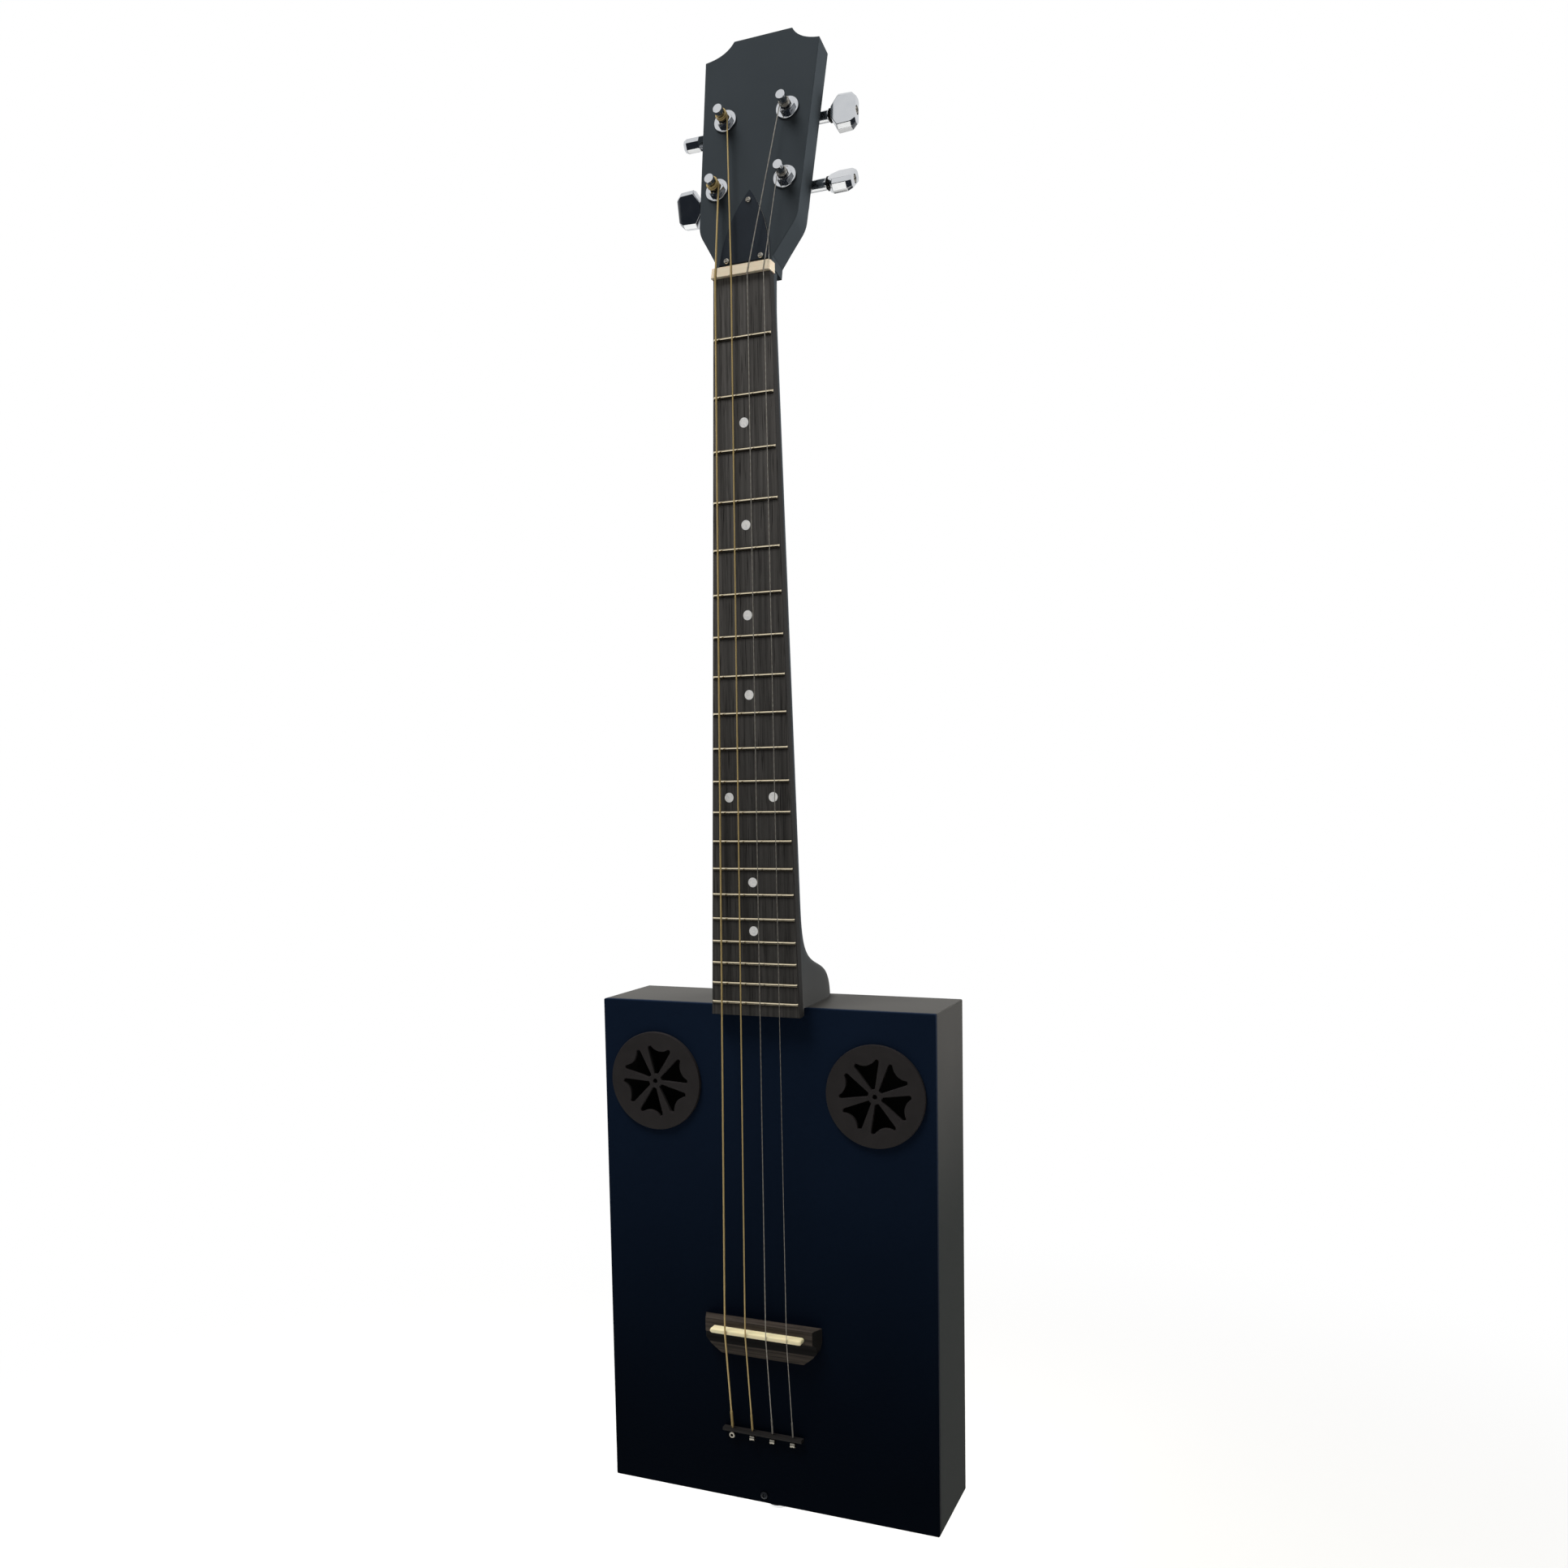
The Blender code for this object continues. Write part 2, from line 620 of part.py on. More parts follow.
def headstock_outline():
    """Right half from the waist up: shoulder, straight flank, hollow ear and flat top."""
    waist = FRETBOARD_NUT_WIDTH / 2
    shoulder = (HEAD_SHOULDER_HALF, HEAD_SHOULDER_HEIGHT)
    ear = (HEAD_EAR_HALF, HEAD_EAR_HEIGHT)
    lower = Vector((waist, HEAD_WAIST_HEIGHT)) - Vector(shoulder)
    upper = Vector(ear) - Vector(shoulder)
    before = Vector(shoulder) + lower.normalized() * HEAD_SHOULDER_ROUND
    after = Vector(shoulder) + upper.normalized() * HEAD_SHOULDER_ROUND
    half = [(waist, SOCKET_TOP / 2), (waist, HEAD_WAIST_HEIGHT), tuple(before)]
    half += curve_points(before, shoulder, after, 3)
    half.append(ear)
    hollow = (HEAD_TOP_HALF + (HEAD_EAR_HALF - HEAD_TOP_HALF) / 4,
              HEAD_EAR_HEIGHT + (HEAD_HEIGHT - HEAD_EAR_HEIGHT) / 7)
    half += curve_points(ear, hollow, (HEAD_TOP_HALF, HEAD_HEIGHT), 5)
    return mirrored(half)


def headstock_holes():
    """Everything drilled in the headstock, in its own frame."""
    back = HEAD_THICKNESS
    tools = []
    for x, z in POST_PLACES:
        tools.append(rod("Y", BUSHING_RADIUS + GAP, -back, 2 * back, (x, 0, z), 16))
        start = back - SMALL_SCREW_LENGTH + BASE_THICKNESS
        tools.append(rod("Y", SMALL_SCREW_RADIUS + GAP, start, 2 * back, (x, 0, z - TAB_SCREW_DROP), 8))
    for x, z in COVER_SCREWS:
        tools.append(rod("Y", SMALL_SCREW_RADIUS + GAP, -back, SMALL_SCREW_LENGTH, (x, 0, z), 8))
    half = TRUSS_NUT_RADIUS + 2 * GAP
    tools.append(block((-half, -back, COVER_LOW), (half, TRUSS_POCKET_DEPTH, TRUSS_POCKET_TOP)))
    return gathered(tools)


def neck():
    headstock = prism(headstock_outline(), 0.0, HEAD_THICKNESS)
    headstock = cut(headstock, headstock_holes())
    headstock.transform(HEAD_FRAME)
    wood = join(neck_shaft(), headstock)
    wood = join(wood, tenon(0.0))
    tongue_half = board_half_width(BODY_TOP) - 2 * GAP
    tongue_low = (-tongue_half, NECK_FACE, FRETBOARD_END)
    wood = join(wood, block(tongue_low, (tongue_half, -GAP, BODY_TOP + SIDE_THICKNESS / 2)))
    reach = HEAD_EAR_HALF
    ledge = block((-reach, -reach, -reach), (reach, NECK_FACE, NUT_THICKNESS + GAP))
    channel_half = TRUSS_ROD_RADIUS + GAP
    channel_low = (-channel_half, -reach, TRUSS_LOW - GAP)
    channel_high = (channel_half, TRUSS_Y + channel_half, TRUSS_HIGH)
    wood = cut(wood, ledge)
    return cut(wood, block(channel_low, channel_high))


def truss_rod():
    """Steel rod in the channel, with its adjusting nut under the headstock's cover."""
    profile = ((TRUSS_ROD_RADIUS, TRUSS_LOW), (TRUSS_ROD_RADIUS, TRUSS_HIGH),
               (TRUSS_NUT_RADIUS, TRUSS_HIGH), (TRUSS_NUT_RADIUS, TRUSS_HIGH + TRUSS_NUT_LENGTH))
    return moved(turned("Z", profile, 6), (0, TRUSS_Y, 0))


def dot_places():
    """Single dots between the usual frets, a pair at the octave."""
    places = []
    for number in (3, 5, 7, 9, 12, 15, 17):
        z = (fret_z(number - 1) + fret_z(number)) / 2
        reach = DOUBLE_DOT_REACH
        places += [(-reach, z), (reach, z)] if number == 12 else [(0.0, z)]
    return places


def fret_crowns():
    """Domed wires across the board, their feet sunk in it."""
    half = FRET_CROWN_WIDTH / 2
    section = [(half * math.cos(a), BOARD_TOP - FRET_CROWN_HEIGHT * math.sin(a)) for a in
               (math.pi * i / 5 for i in range(6))]
    section += [(-half, BOARD_TOP + FRET_TANG_DEPTH), (half, BOARD_TOP + FRET_TANG_DEPTH)]
    wires = []
    for number in range(1, FRET_COUNT + 1):
        z = fret_z(number)
        reach = board_half_width(z) - FRET_END_INSET
        wires.append(loft([[(x, y, z + offset) for offset, y in section] for x in (-reach, reach)]))
    return gathered(wires)


def fretboard():
    """Tapered board with its frets pressed in, and a round pocket for each inlaid dot."""
    top = -GAP
    corners = [(side * board_half_width(z), z) for side, z in
               ((1, top), (1, FRETBOARD_END), (-1, FRETBOARD_END), (-1, top))]
    pockets = []
    for x, z in dot_places():
        pockets.append(rod("Y", DOT_RADIUS, BOARD_TOP - DOT_DEPTH, BOARD_TOP + DOT_DEPTH, (x, 0, z), 16))
    board = cut(prism(corners, BOARD_TOP, BOARD_BACK), gathered(pockets))
    return join(board, fret_crowns())


NUT_FALL = 0.27


def nut():
    """Bone nut, its top falling towards the headstock, with a slot along each string's way."""
    half = NUT_WIDTH / 2
    corner = -NUT_TOP - NUT_ROUND
    rings = []
    for z in (0.0, NUT_THICKNESS):
        fall = NUT_FALL * z
        outline = [(-half, BOARD_BACK), (half, BOARD_BACK)]
        outline += [(x, fall - y) for x, y in arc((half - NUT_ROUND, corner), NUT_ROUND, 0, 90, 3)]
        for number in reversed(range(len(STRING_DIAMETERS))):
            x = string_place(number, NUT_STRING_SPACING, 0.0) + z * string_lean(number)
            width = STRING_DIAMETERS[number] / 2 + GAP
            top = NUT_TOP + fall
            outline += [(x + width, top), (x + width, top + width)]
            outline += [(x - width, top + width), (x - width, top)]
        outline += [(x, fall - y) for x, y in arc((NUT_ROUND - half, corner), NUT_ROUND, 90, 180, 3)]
        rings.append([(x, y, z) for x, y in outline])
    return loft(rings)


def string_lean(number):
    """How far a string moves across for its rise from the nut to its post."""
    nut_point, post_point = string_route(number)[3:5]
    return (post_point.x - nut_point.x) / (post_point.z - nut_point.z)


def wood_screw(axis, head_radius, shank_radius, length, sides=10):
    """Dome-headed screw, its head's seat at 0 and its shank along the axis."""
    dome = head_radius * 0.6
    profile = ((head_radius * 0.55, -dome), (head_radius, -dome * 0.4), (head_radius, 0.0),
               (shank_radius, 0.0), (shank_radius, length - shank_radius), (shank_radius / 3, length))
    return turned(axis, profile, sides)


def cover_plate():
    """Pointed cover over the truss rod's nut."""
    half = [(COVER_HALF, COVER_LOW)]
    apex = (0.0, COVER_LOW + COVER_HEIGHT)
    half += curve_points(half[0], (COVER_HALF * 0.93, COVER_LOW + COVER_HEIGHT * 0.57), apex, 6)
    outline = half + [(-x, z) for x, z in reversed(half[:-1])]
    plate = prism(outline, -GAP - COVER_THICKNESS, -GAP)
    tools = [rod("Y", SMALL_SCREW_RADIUS + GAP, -HEAD_THICKNESS, HEAD_THICKNESS, (x, 0, z), 8)
             for x, z in COVER_SCREWS]
    return cut(plate, gathered(tools))


def cover_screw(x, z):
    screw = wood_screw("Y", SMALL_SCREW_HEAD, SMALL_SCREW_RADIUS, SMALL_SCREW_LENGTH)
    return moved(screw, (x, -COVER_THICKNESS - 2 * GAP, z))


def make_neck(root, head, colours):
    place("neck", neck(), colours["lacquer"], root)
    place("truss_rod", truss_rod(), colours["steel"], root)
    place("fretboard", fretboard(), colours["rosewood"], root)
    place("nut", nut(), colours["bone"], root)
    place("truss_rod_cover", cover_plate(), colours["black"], head)
    for number, (x, z) in enumerate(COVER_SCREWS):
        place(f"cover_screw_{number + 1}", cover_screw(x, z), colours["steel"], head)


# Tuning machines: worm and wheel in a closed housing behind the headstock

WORM_SIDES = 12
WORM_STEPS_PER_PITCH = 6
FLANK_SLOPE = 0.40
GEAR_LAYERS = 2
HOUSING_HALF = GEAR_TIP + RUN_GAP + HOUSING_WALL
HOUSING_LOW = -HOUSING_HALF
HOUSING_HIGH = GEAR_CENTRE + WORM_RADIUS + WORM_ADDENDUM + RUN_GAP + HOUSING_WALL
HOUSING_FRONT = HEAD_THICKNESS + BASE_THICKNESS + 2 * GAP
CAVITY_BACK = HEAD_THICKNESS + WORM_DEPTH + WORM_RADIUS + WORM_ADDENDUM + RUN_GAP
HOUSING_BACK = CAVITY_BACK + HOUSING_WALL
HOUSING_ROUND = 0.0022
TAB_SCREW_DROP = HOUSING_HALF + BASE_TAB / 2
WORM_AXIS_Y = HEAD_THICKNESS + WORM_DEPTH


def worm_radius_at(angle, x):
    """Radius of the worm's single thread: a trapezoid ridge wound round the axis."""
    turn = x / WORM_PITCH - (angle - math.pi) / (2 * math.pi)
    offset = abs(turn - round(turn)) * WORM_PITCH
    radius = WORM_RADIUS + (TOOTH_THICKNESS / 2 - offset) / FLANK_SLOPE
    return min(max(radius, WORM_RADIUS - WORM_DEDENDUM), WORM_RADIUS + WORM_ADDENDUM)


def worm_shaft(side):
    """Worm, shaft and collar, turned in one piece; x runs outwards to the button."""
    start = -WORM_LENGTH / 2
    stub = -(GEAR_TIP + RUN_GAP - GAP)
    collar = BARREL_REACH + GAP
    shaft_end = BUTTON_START + BUTTON_SHAFT_BITE
    core = WORM_RADIUS - WORM_DEDENDUM
    stations = [(core, stub), (core, start)]
    steps = round(WORM_LENGTH / WORM_PITCH * WORM_STEPS_PER_PITCH)
    stations += [(None, start + WORM_LENGTH * i / steps) for i in range(1, steps)]
    stations += [(core, -start), (SHAFT_RADIUS, -start), (SHAFT_RADIUS, collar), (COLLAR_RADIUS, collar),
                 (COLLAR_RADIUS, collar + COLLAR_THICKNESS), (SHAFT_RADIUS, collar + COLLAR_THICKNESS),
                 (SHAFT_RADIUS, shaft_end)]
    rings = []
    for radius, x in stations:
        points = []
        for i in range(WORM_SIDES):
            angle = 2 * math.pi * i / WORM_SIDES
            r = worm_radius_at(angle, x) if radius is None else radius
            points.append((side * x, -r * math.sin(angle), r * math.cos(angle)))
        rings.append(points)
    return loft(rings)


def gear(side):
    """Wheel whose teeth lean by the worm's lead, with a gap facing the worm."""
    lean = WORM_PITCH / (2 * math.pi * WORM_RADIUS * GEAR_RADIUS)
    step = 2 * math.pi / GEAR_TEETH
    rings = []
    for layer in range(GEAR_LAYERS):
        depth = GEAR_WIDTH * (layer / (GEAR_LAYERS - 1) - 0.5)
        points = []
        for tooth in range(GEAR_TEETH):
            middle = math.pi / 2 + (tooth + 0.5) * step - lean * depth
            for radius, sign in ((GEAR_ROOT, -1), (GEAR_TIP, -1), (GEAR_TIP, 1), (GEAR_ROOT, 1)):
                half = TOOTH_THICKNESS / 2 - (radius - GEAR_RADIUS) * FLANK_SLOPE
                angle = middle + sign * half / radius
                x = side * radius * math.cos(angle)
                points.append((x, WORM_AXIS_Y + depth, radius * math.sin(angle)))
        rings.append(points)
    return loft(rings)


def string_post(side):
    """Post through the headstock: capped and waisted in front, with the wheel behind."""
    cap = -POST_HEIGHT
    waist_top = cap + POST_CAP
    waist_end = -BUSHING_TOP - 2 * GAP
    core = POST_WAIST_RADIUS
    profile = ((POST_RADIUS - GAP, cap), (POST_RADIUS, cap + GAP), (POST_RADIUS, waist_top),
               (core, waist_top + GAP), (core, waist_end - GAP), (POST_RADIUS, waist_end),
               (POST_RADIUS, HEAD_THICKNESS + BASE_THICKNESS), (core, HEAD_THICKNESS + BASE_THICKNESS + GAP),
               (core, WORM_AXIS_Y + GEAR_WIDTH / 2 + GAP))
    post = join(turned("Y", profile, 16), gear(side))
    bore = STRING_DIAMETERS[0] / 2 + GAP / 2
    hole = rod("X", bore, -2 * core, 2 * core, (0, waist_top + bore + 2 * GAP, 0), 8)
    return cut(post, hole)


def bushing():
    """Threaded bushing: a hex head on a sleeve that reaches into the headstock."""
    seat = -WASHER_THICKNESS - 2 * GAP
    flat = math.cos(math.pi / 6)
    rows = ((BUSHING_BORE, -BUSHING_TOP, False), (BUSHING_HEX_RADIUS * 0.86, -BUSHING_TOP, False),
            (BUSHING_HEX_RADIUS, -BUSHING_TOP + 2 * GAP, True), (BUSHING_HEX_RADIUS, seat, True),
            (BUSHING_RADIUS, seat, False), (BUSHING_RADIUS, BUSHING_SLEEVE, False),
            (BUSHING_BORE, BUSHING_SLEEVE, False))
    sides = 12
    mesh = bmesh.new()
    rings = []
    for radius, y, hexed in rows:
        points = ring("Y", radius, y, sides)
        if hexed:
            points = [(x * (flat if i % 2 else 1), d, z * (flat if i % 2 else 1))
                      for i, (x, d, z) in enumerate(points)]
        rings.append([mesh.verts.new(point) for point in points])
    for low, high in zip(rings, rings[1:] + rings[:1]):
        for i in range(sides):
            j = (i + 1) % sides
            mesh.faces.new((low[i], low[j], high[j], high[i]))
    return mesh


def washer():
    inner = BUSHING_RADIUS + GAP
    profile = ((inner, -GAP - WASHER_THICKNESS), (WASHER_RADIUS - GAP, -GAP - WASHER_THICKNESS),
               (WASHER_RADIUS, -GAP - WASHER_THICKNESS / 2), (WASHER_RADIUS, -GAP), (inner, -GAP))
    return turned_ring("Y", profile, 18)


def tuner_base():
    """Plate between housing and headstock, with a screw tab below."""
    low = HOUSING_LOW - BASE_TAB
    tab = BASE_TAB / 2
    outline = [(-tab, HOUSING_LOW)] + arc((0, low + tab), tab, 180, 360, 6) + [(tab, HOUSING_LOW)]
    outline += [(HOUSING_HALF, HOUSING_LOW), (HOUSING_HALF, HOUSING_HIGH)]
    outline += [(-HOUSING_HALF, HOUSING_HIGH), (-HOUSING_HALF, HOUSING_LOW)]
    front = HEAD_THICKNESS + GAP
    plate = prism(outline, front, front + BASE_THICKNESS)
    tools = [rod("Y", POST_RADIUS + RUN_GAP, 0.0, HOUSING_BACK, sides=16),
             rod("Y", SMALL_SCREW_RADIUS + GAP, 0.0, HOUSING_BACK, (0, 0, -TAB_SCREW_DROP), 8)]
    return cut(plate, gathered(tools))


def tuner_housing(side):
    """Die-cast cup over worm and wheel, with the barrel that the button's shaft turns in."""
    shell = prism(rounded_box(-HOUSING_HALF, HOUSING_HALF, HOUSING_LOW, HOUSING_HIGH, HOUSING_ROUND),
                  HOUSING_FRONT, HOUSING_BACK)
    soften(shell, lambda p: p.y > HOUSING_BACK - GAP, HOUSING_WALL * 0.75, 2)
    axis = (0, WORM_AXIS_Y, GEAR_CENTRE)
    bore = SHAFT_RADIUS + GAP
    barrel = ((bore + BARREL_WALL, 0.0), (bore + BARREL_WALL, BARREL_REACH - 2 * GAP),
              (bore + BARREL_WALL - 2 * GAP, BARREL_REACH))
    shell = join(shell, moved(turned("X", barrel, 16), axis))
    inner = HOUSING_HALF - HOUSING_WALL
    cavity = block((-inner, 0.0, HOUSING_LOW + HOUSING_WALL),
                   (inner, CAVITY_BACK, HOUSING_HIGH - HOUSING_WALL))
    shell = cut(shell, cavity)
    shell = cut(shell, rod("X", bore, 0.0, 2 * BARREL_REACH, axis, 12))
    bmesh.ops.scale(shell, vec=(side, 1, 1), verts=shell.verts)
    return shell


def button_section(x, wide, thick):
    """Eight-sided slice of the button: broad faces, sloping shoulders and narrow edges."""
    face = wide * BUTTON_FACE_SHARE
    edge = thick * BUTTON_EDGE_SHARE
    quarter = [(thick, face), (edge, wide)]
    half = quarter + [(-y, z) for y, z in reversed(quarter)]
    return [(x, y, z) for y, z in half + [(-y, -z) for y, z in half]]


def tuner_button(side):
    """Cast button: narrow at the shaft, wide across the middle, cut to flat facets all round."""
    start = BUTTON_START
    end = start + BUTTON_LENGTH
    wide = BUTTON_HALF_WIDTH
    thick = BUTTON_THICKNESS / 2
    slices = [button_section(start, wide * 0.36, thick),
              button_section(start + BUTTON_LENGTH * 0.26, wide, thick),
              button_section(start + BUTTON_LENGTH * 0.76, wide * 0.94, thick),
              button_section(end, wide * 0.55, thick * 0.75)]
    body = loft(slices)
    recess = rod("X", BUTTON_SCREW_RADIUS + GAP, end - BUTTON_SCREW_RADIUS / 2, end + BUTTON_LENGTH, sides=12)
    bore = rod("X", SHAFT_RADIUS + GAP, 0.0, end - BUTTON_SCREW_RADIUS / 4, sides=12)
    body = cut(cut(body, bore), recess)
    bmesh.ops.scale(body, vec=(side, 1, 1), verts=body.verts)
    return body


def make_tuners(head, colours):
    chrome = colours["chrome"]
    for number, (x, z) in enumerate(POST_PLACES):
        side = 1 if x > 0 else -1
        label = f"_{number + 1}"
        post_axis = frame_empty("post_axis" + label, head, (x, 0, z))
        worm_axis = frame_empty("worm_axis" + label, head, (x, WORM_AXIS_Y, z + GEAR_CENTRE))
        place("tuner_bushing" + label, bushing(), chrome, post_axis)
        place("tuner_washer" + label, washer(), chrome, post_axis)
        place("tuner_base" + label, tuner_base(), chrome, post_axis)
        place("tuner_housing" + label, tuner_housing(side), chrome, post_axis)
        place("string_post" + label, string_post(side), chrome, post_axis)
        place("worm_shaft" + label, worm_shaft(side), colours["steel"], worm_axis)
        place("tuner_button" + label, tuner_button(side), chrome, worm_axis, BUTTON_TURNS[number])


# Fittings on the body

def grille_slot():
    """One cut-out of the grille: narrow at the hub, forked at the rim, in (across, outwards)."""
    root = GRILLE_SLOT_ROOT
    reach = GRILLE_SLOT_REACH
    width = reach * 0.36
    half = [(root * 0.2, root), (width, reach * 0.95)]
    half += curve_points(half[-1], (width * 1.04, reach), (width * 0.86, reach), 2)
    half += curve_points(half[-1], (width * 0.4, reach * 0.93), (0.0, reach * 0.87), 2)
    return half + [(-x, z) for x, z in reversed(half[:-1])]


def grille(turn):
    """Sound hole insert: a flat ring, six forked slots and a spigot that sits in the hole."""
    disc = rod("Y", GRILLE_RADIUS, -GAP - GRILLE_THICKNESS, -GAP, sides=40)
    soften(disc, lambda p: p.y < -GRILLE_THICKNESS, GRILLE_THICKNESS * 0.3)
    tools = [rod("Y", GRILLE_SLOT_ROOT * 0.28, -BODY_DEPTH, BODY_DEPTH, sides=8)]
    for number in range(GRILLE_SLOTS):
        angle = turn + 2 * math.pi * number / GRILLE_SLOTS
        c, s = math.cos(angle), math.sin(angle)
        outline = [(x * c - z * s, x * s + z * c) for x, z in grille_slot()]
        tools.append(prism(outline, -BODY_DEPTH, BODY_DEPTH))
    disc = cut(disc, gathered(tools))
    outer = SOUND_HOLE_RADIUS - GAP
    inner = outer - GRILLE_SPIGOT_WALL
    front = -GAP - GRILLE_THICKNESS / 2
    spigot = ((inner, front), (outer, front), (outer, GRILLE_SPIGOT_DEPTH), (inner, GRILLE_SPIGOT_DEPTH))
    return join(disc, turned_ring("Y", spigot, 32))


def bridge():
    """Bridge section carried across: deck with the saddle's slot, hollow and sloping toe."""
    section = [(0.0, -GAP), (0.0, GAP - BRIDGE_HEIGHT), (-GAP, -BRIDGE_HEIGHT),
               (-BRIDGE_DECK, -BRIDGE_HEIGHT)]
    hollow = (-BRIDGE_DECK, -BRIDGE_LEDGE_HEIGHT)
    section += curve_points(section[-1], hollow, (-BRIDGE_DECK - BRIDGE_COVE, -BRIDGE_LEDGE_HEIGHT), 4)
    section += [(-BRIDGE_BREADTH, -BRIDGE_TOE_HEIGHT), (-BRIDGE_BREADTH, -GAP)]
    half = BRIDGE_LENGTH / 2
    body = loft([[(x, y, z) for z, y in section] for x in (-half, half)])
    corner = [(half, -BRIDGE_DECK)]
    corner += curve_points(corner[0], (half, -BRIDGE_BREADTH * 0.66), (BRIDGE_TOE_HALF, -BRIDGE_BREADTH), 3)
    for side in (-1, 1):
        slice_off(body, (side * half, 0, 0), (side * BRIDGE_HEIGHT, -BRIDGE_END_SLOPE, 0))
        for (x0, z0), (x1, z1) in zip(corner, corner[1:]):
            slice_off(body, (side * x0, 0, z0), (side * (z0 - z1), 0, x1 - x0))
    slot = saddle_solid(GAP, -BRIDGE_HEIGHT + SADDLE_SEAT_DEPTH)
    moved(slot, (0, 0, -BRIDGE_ABOVE_SADDLE))
    return cut(body, slot)


def saddle_solid(clearance, seat):
    """Bar with round ends, from its seat up to the crest; with a clearance, its slot."""
    radius = SADDLE_THICKNESS / 2 + clearance
    reach = SADDLE_LENGTH / 2 - SADDLE_THICKNESS / 2
    outline = arc((reach, 0), radius, -90, 90, 4) + arc((-reach, 0), radius, 90, 270, 4)
    return prism(outline, seat, -SADDLE_CREST)


def saddle():
    bar = saddle_solid(0.0, -BRIDGE_HEIGHT + SADDLE_SEAT_DEPTH - GAP)
    return soften(bar, lambda p: p.y < GAP - SADDLE_CREST, SADDLE_THICKNESS / 3, 2)


def tail_string_x(number):
    return string_place(number, SADDLE_STRING_SPACING, line_x(TAIL_BAR_Z))


def tail_bar():
    """Wooden bar across the face; the strings come through it and their ball ends stop below."""
    x = line_x(TAIL_BAR_Z)
    half = TAIL_BAR_LENGTH / 2
    low = (x - half, -TAIL_BAR_HEIGHT, TAIL_BAR_Z - TAIL_BAR_THICKNESS / 2)
    bar = block(low, (x + half, -GAP, TAIL_BAR_Z + TAIL_BAR_THICKNESS / 2))
    soften(bar, lambda p: p.y < -GAP * 2, TAIL_BAR_THICKNESS / 4)
    tools = []
    for number, diameter in enumerate(STRING_DIAMETERS):
        reach = TAIL_BAR_Z - TAIL_BAR_THICKNESS, TAIL_BAR_Z + TAIL_BAR_THICKNESS
        tools.append(rod("Z", diameter / 2 + GAP, *reach, (tail_string_x(number), -TAIL_STRING_HEIGHT, 0), 8))
    return cut(bar, gathered(tools))


def strap_button():
    """Turned button on the bottom wall, bored for its screw."""
    bore = STRAP_SCREW_RADIUS + GAP
    rim = STRAP_BUTTON_RADIUS
    end = -STRAP_BUTTON_LENGTH
    profile = ((bore, 0.0), (rim, 0.0), (rim, end * 0.14), (rim * 0.55, end * 0.3), (rim * 0.55, end * 0.62),
               (rim, end * 0.8), (rim, end * 0.94), (rim * 0.88, end), (2 * bore, end), (2 * bore, end * 0.9),
               (bore, end * 0.72))
    return moved(turned_ring("Z", profile, 16), (STRAP_X, STRAP_BUTTON_DEPTH, BODY_BOTTOM - GAP))


def strap_button_screw():
    radius = STRAP_SCREW_RADIUS
    head = 2 * radius
    end = -STRAP_BUTTON_LENGTH
    tip = end + STRAP_SCREW_LENGTH
    profile = ((head * 0.6, end), (head, end * 0.94), (head, end * 0.9), (radius, end * 0.72 - GAP),
               (radius, tip - 2 * radius), (radius / 3, tip))
    return moved(turned("Z", profile, 12), (STRAP_X, STRAP_BUTTON_DEPTH, BODY_BOTTOM - GAP))


def face_screw():
    screw = wood_screw("Y", FACE_SCREW_RADIUS, SMALL_SCREW_RADIUS, SMALL_SCREW_LENGTH, 12)
    return moved(screw, (line_x(FACE_SCREW_Z), -GAP, FACE_SCREW_Z))


def make_fittings(root, colours):
    for name, (x, z), turn in zip(("grille_left", "grille_right"), grille_places(), GRILLE_TURNS):
        place(name, moved(grille(turn), (x, 0, z)), colours["grille"], root)
    saddle_x = line_x(SADDLE_Z)
    place("bridge", moved(bridge(), (saddle_x, 0, SADDLE_Z + BRIDGE_ABOVE_SADDLE)), colours["rosewood"], root)
    place("saddle", moved(saddle(), (saddle_x, 0, SADDLE_Z)), colours["bone"], root)
    place("tail_bar", tail_bar(), colours["rosewood"], root)
    place("strap_button", strap_button(), colours["chrome"], root)
    place("strap_button_screw", strap_button_screw(), colours["steel"], root)
    place("face_screw", face_screw(), colours["steel"], root)


# Strings: taut from the tail bar over saddle and nut, then wound on the posts

BALL_Z = TAIL_BAR_Z - TAIL_BAR_THICKNESS / 2 - GAP - BALL_RADIUS


def wrap(start, number):
    """String from the nut to its post and round it, as points of the headstock's frame."""
    x, z = POST_PLACES[number]
    inner = -1 if x > 0 else 1
    diameter = STRING_DIAMETERS[number]
    radius = POST_WAIST_RADIUS + GAP + diameter / 2
    first = BUSHING_TOP + diameter / 2 + 3 * GAP
    pitch = diameter + WRAP_SPACING
    run = Vector((x - start.x, z - start.z))
    heading = math.atan2(run.y, run.x) - inner * math.asin(radius / run.length)
    angle = heading - inner * math.pi / 2
    points = []
    for i in range(round(WRAP_TURNS * LOOP_POINTS) + 1):
        turn = i / LOOP_POINTS
        a = angle + inner * 2 * math.pi * turn
        points.append(Vector((x + radius * math.cos(a), -first - pitch * turn, z + radius * math.sin(a))))
    points.append(points[-1] + (points[-1] - points[-2]).normalized() * diameter)
    return points


def ball_end(number):
    """Small bored barrel that stops the string; the first faces forward, the others lie across."""
    half = BALL_LENGTH / 2
    profile = ((BALL_BORE_RADIUS, -half), (BALL_RADIUS, -half), (BALL_RADIUS * 0.85, 0.0),
               (BALL_RADIUS, half), (BALL_BORE_RADIUS, half))
    barrel = turned_ring("Y" if number == 0 else "X", profile, 12)
    return moved(barrel, (tail_string_x(number), -TAIL_STRING_HEIGHT, BALL_Z))


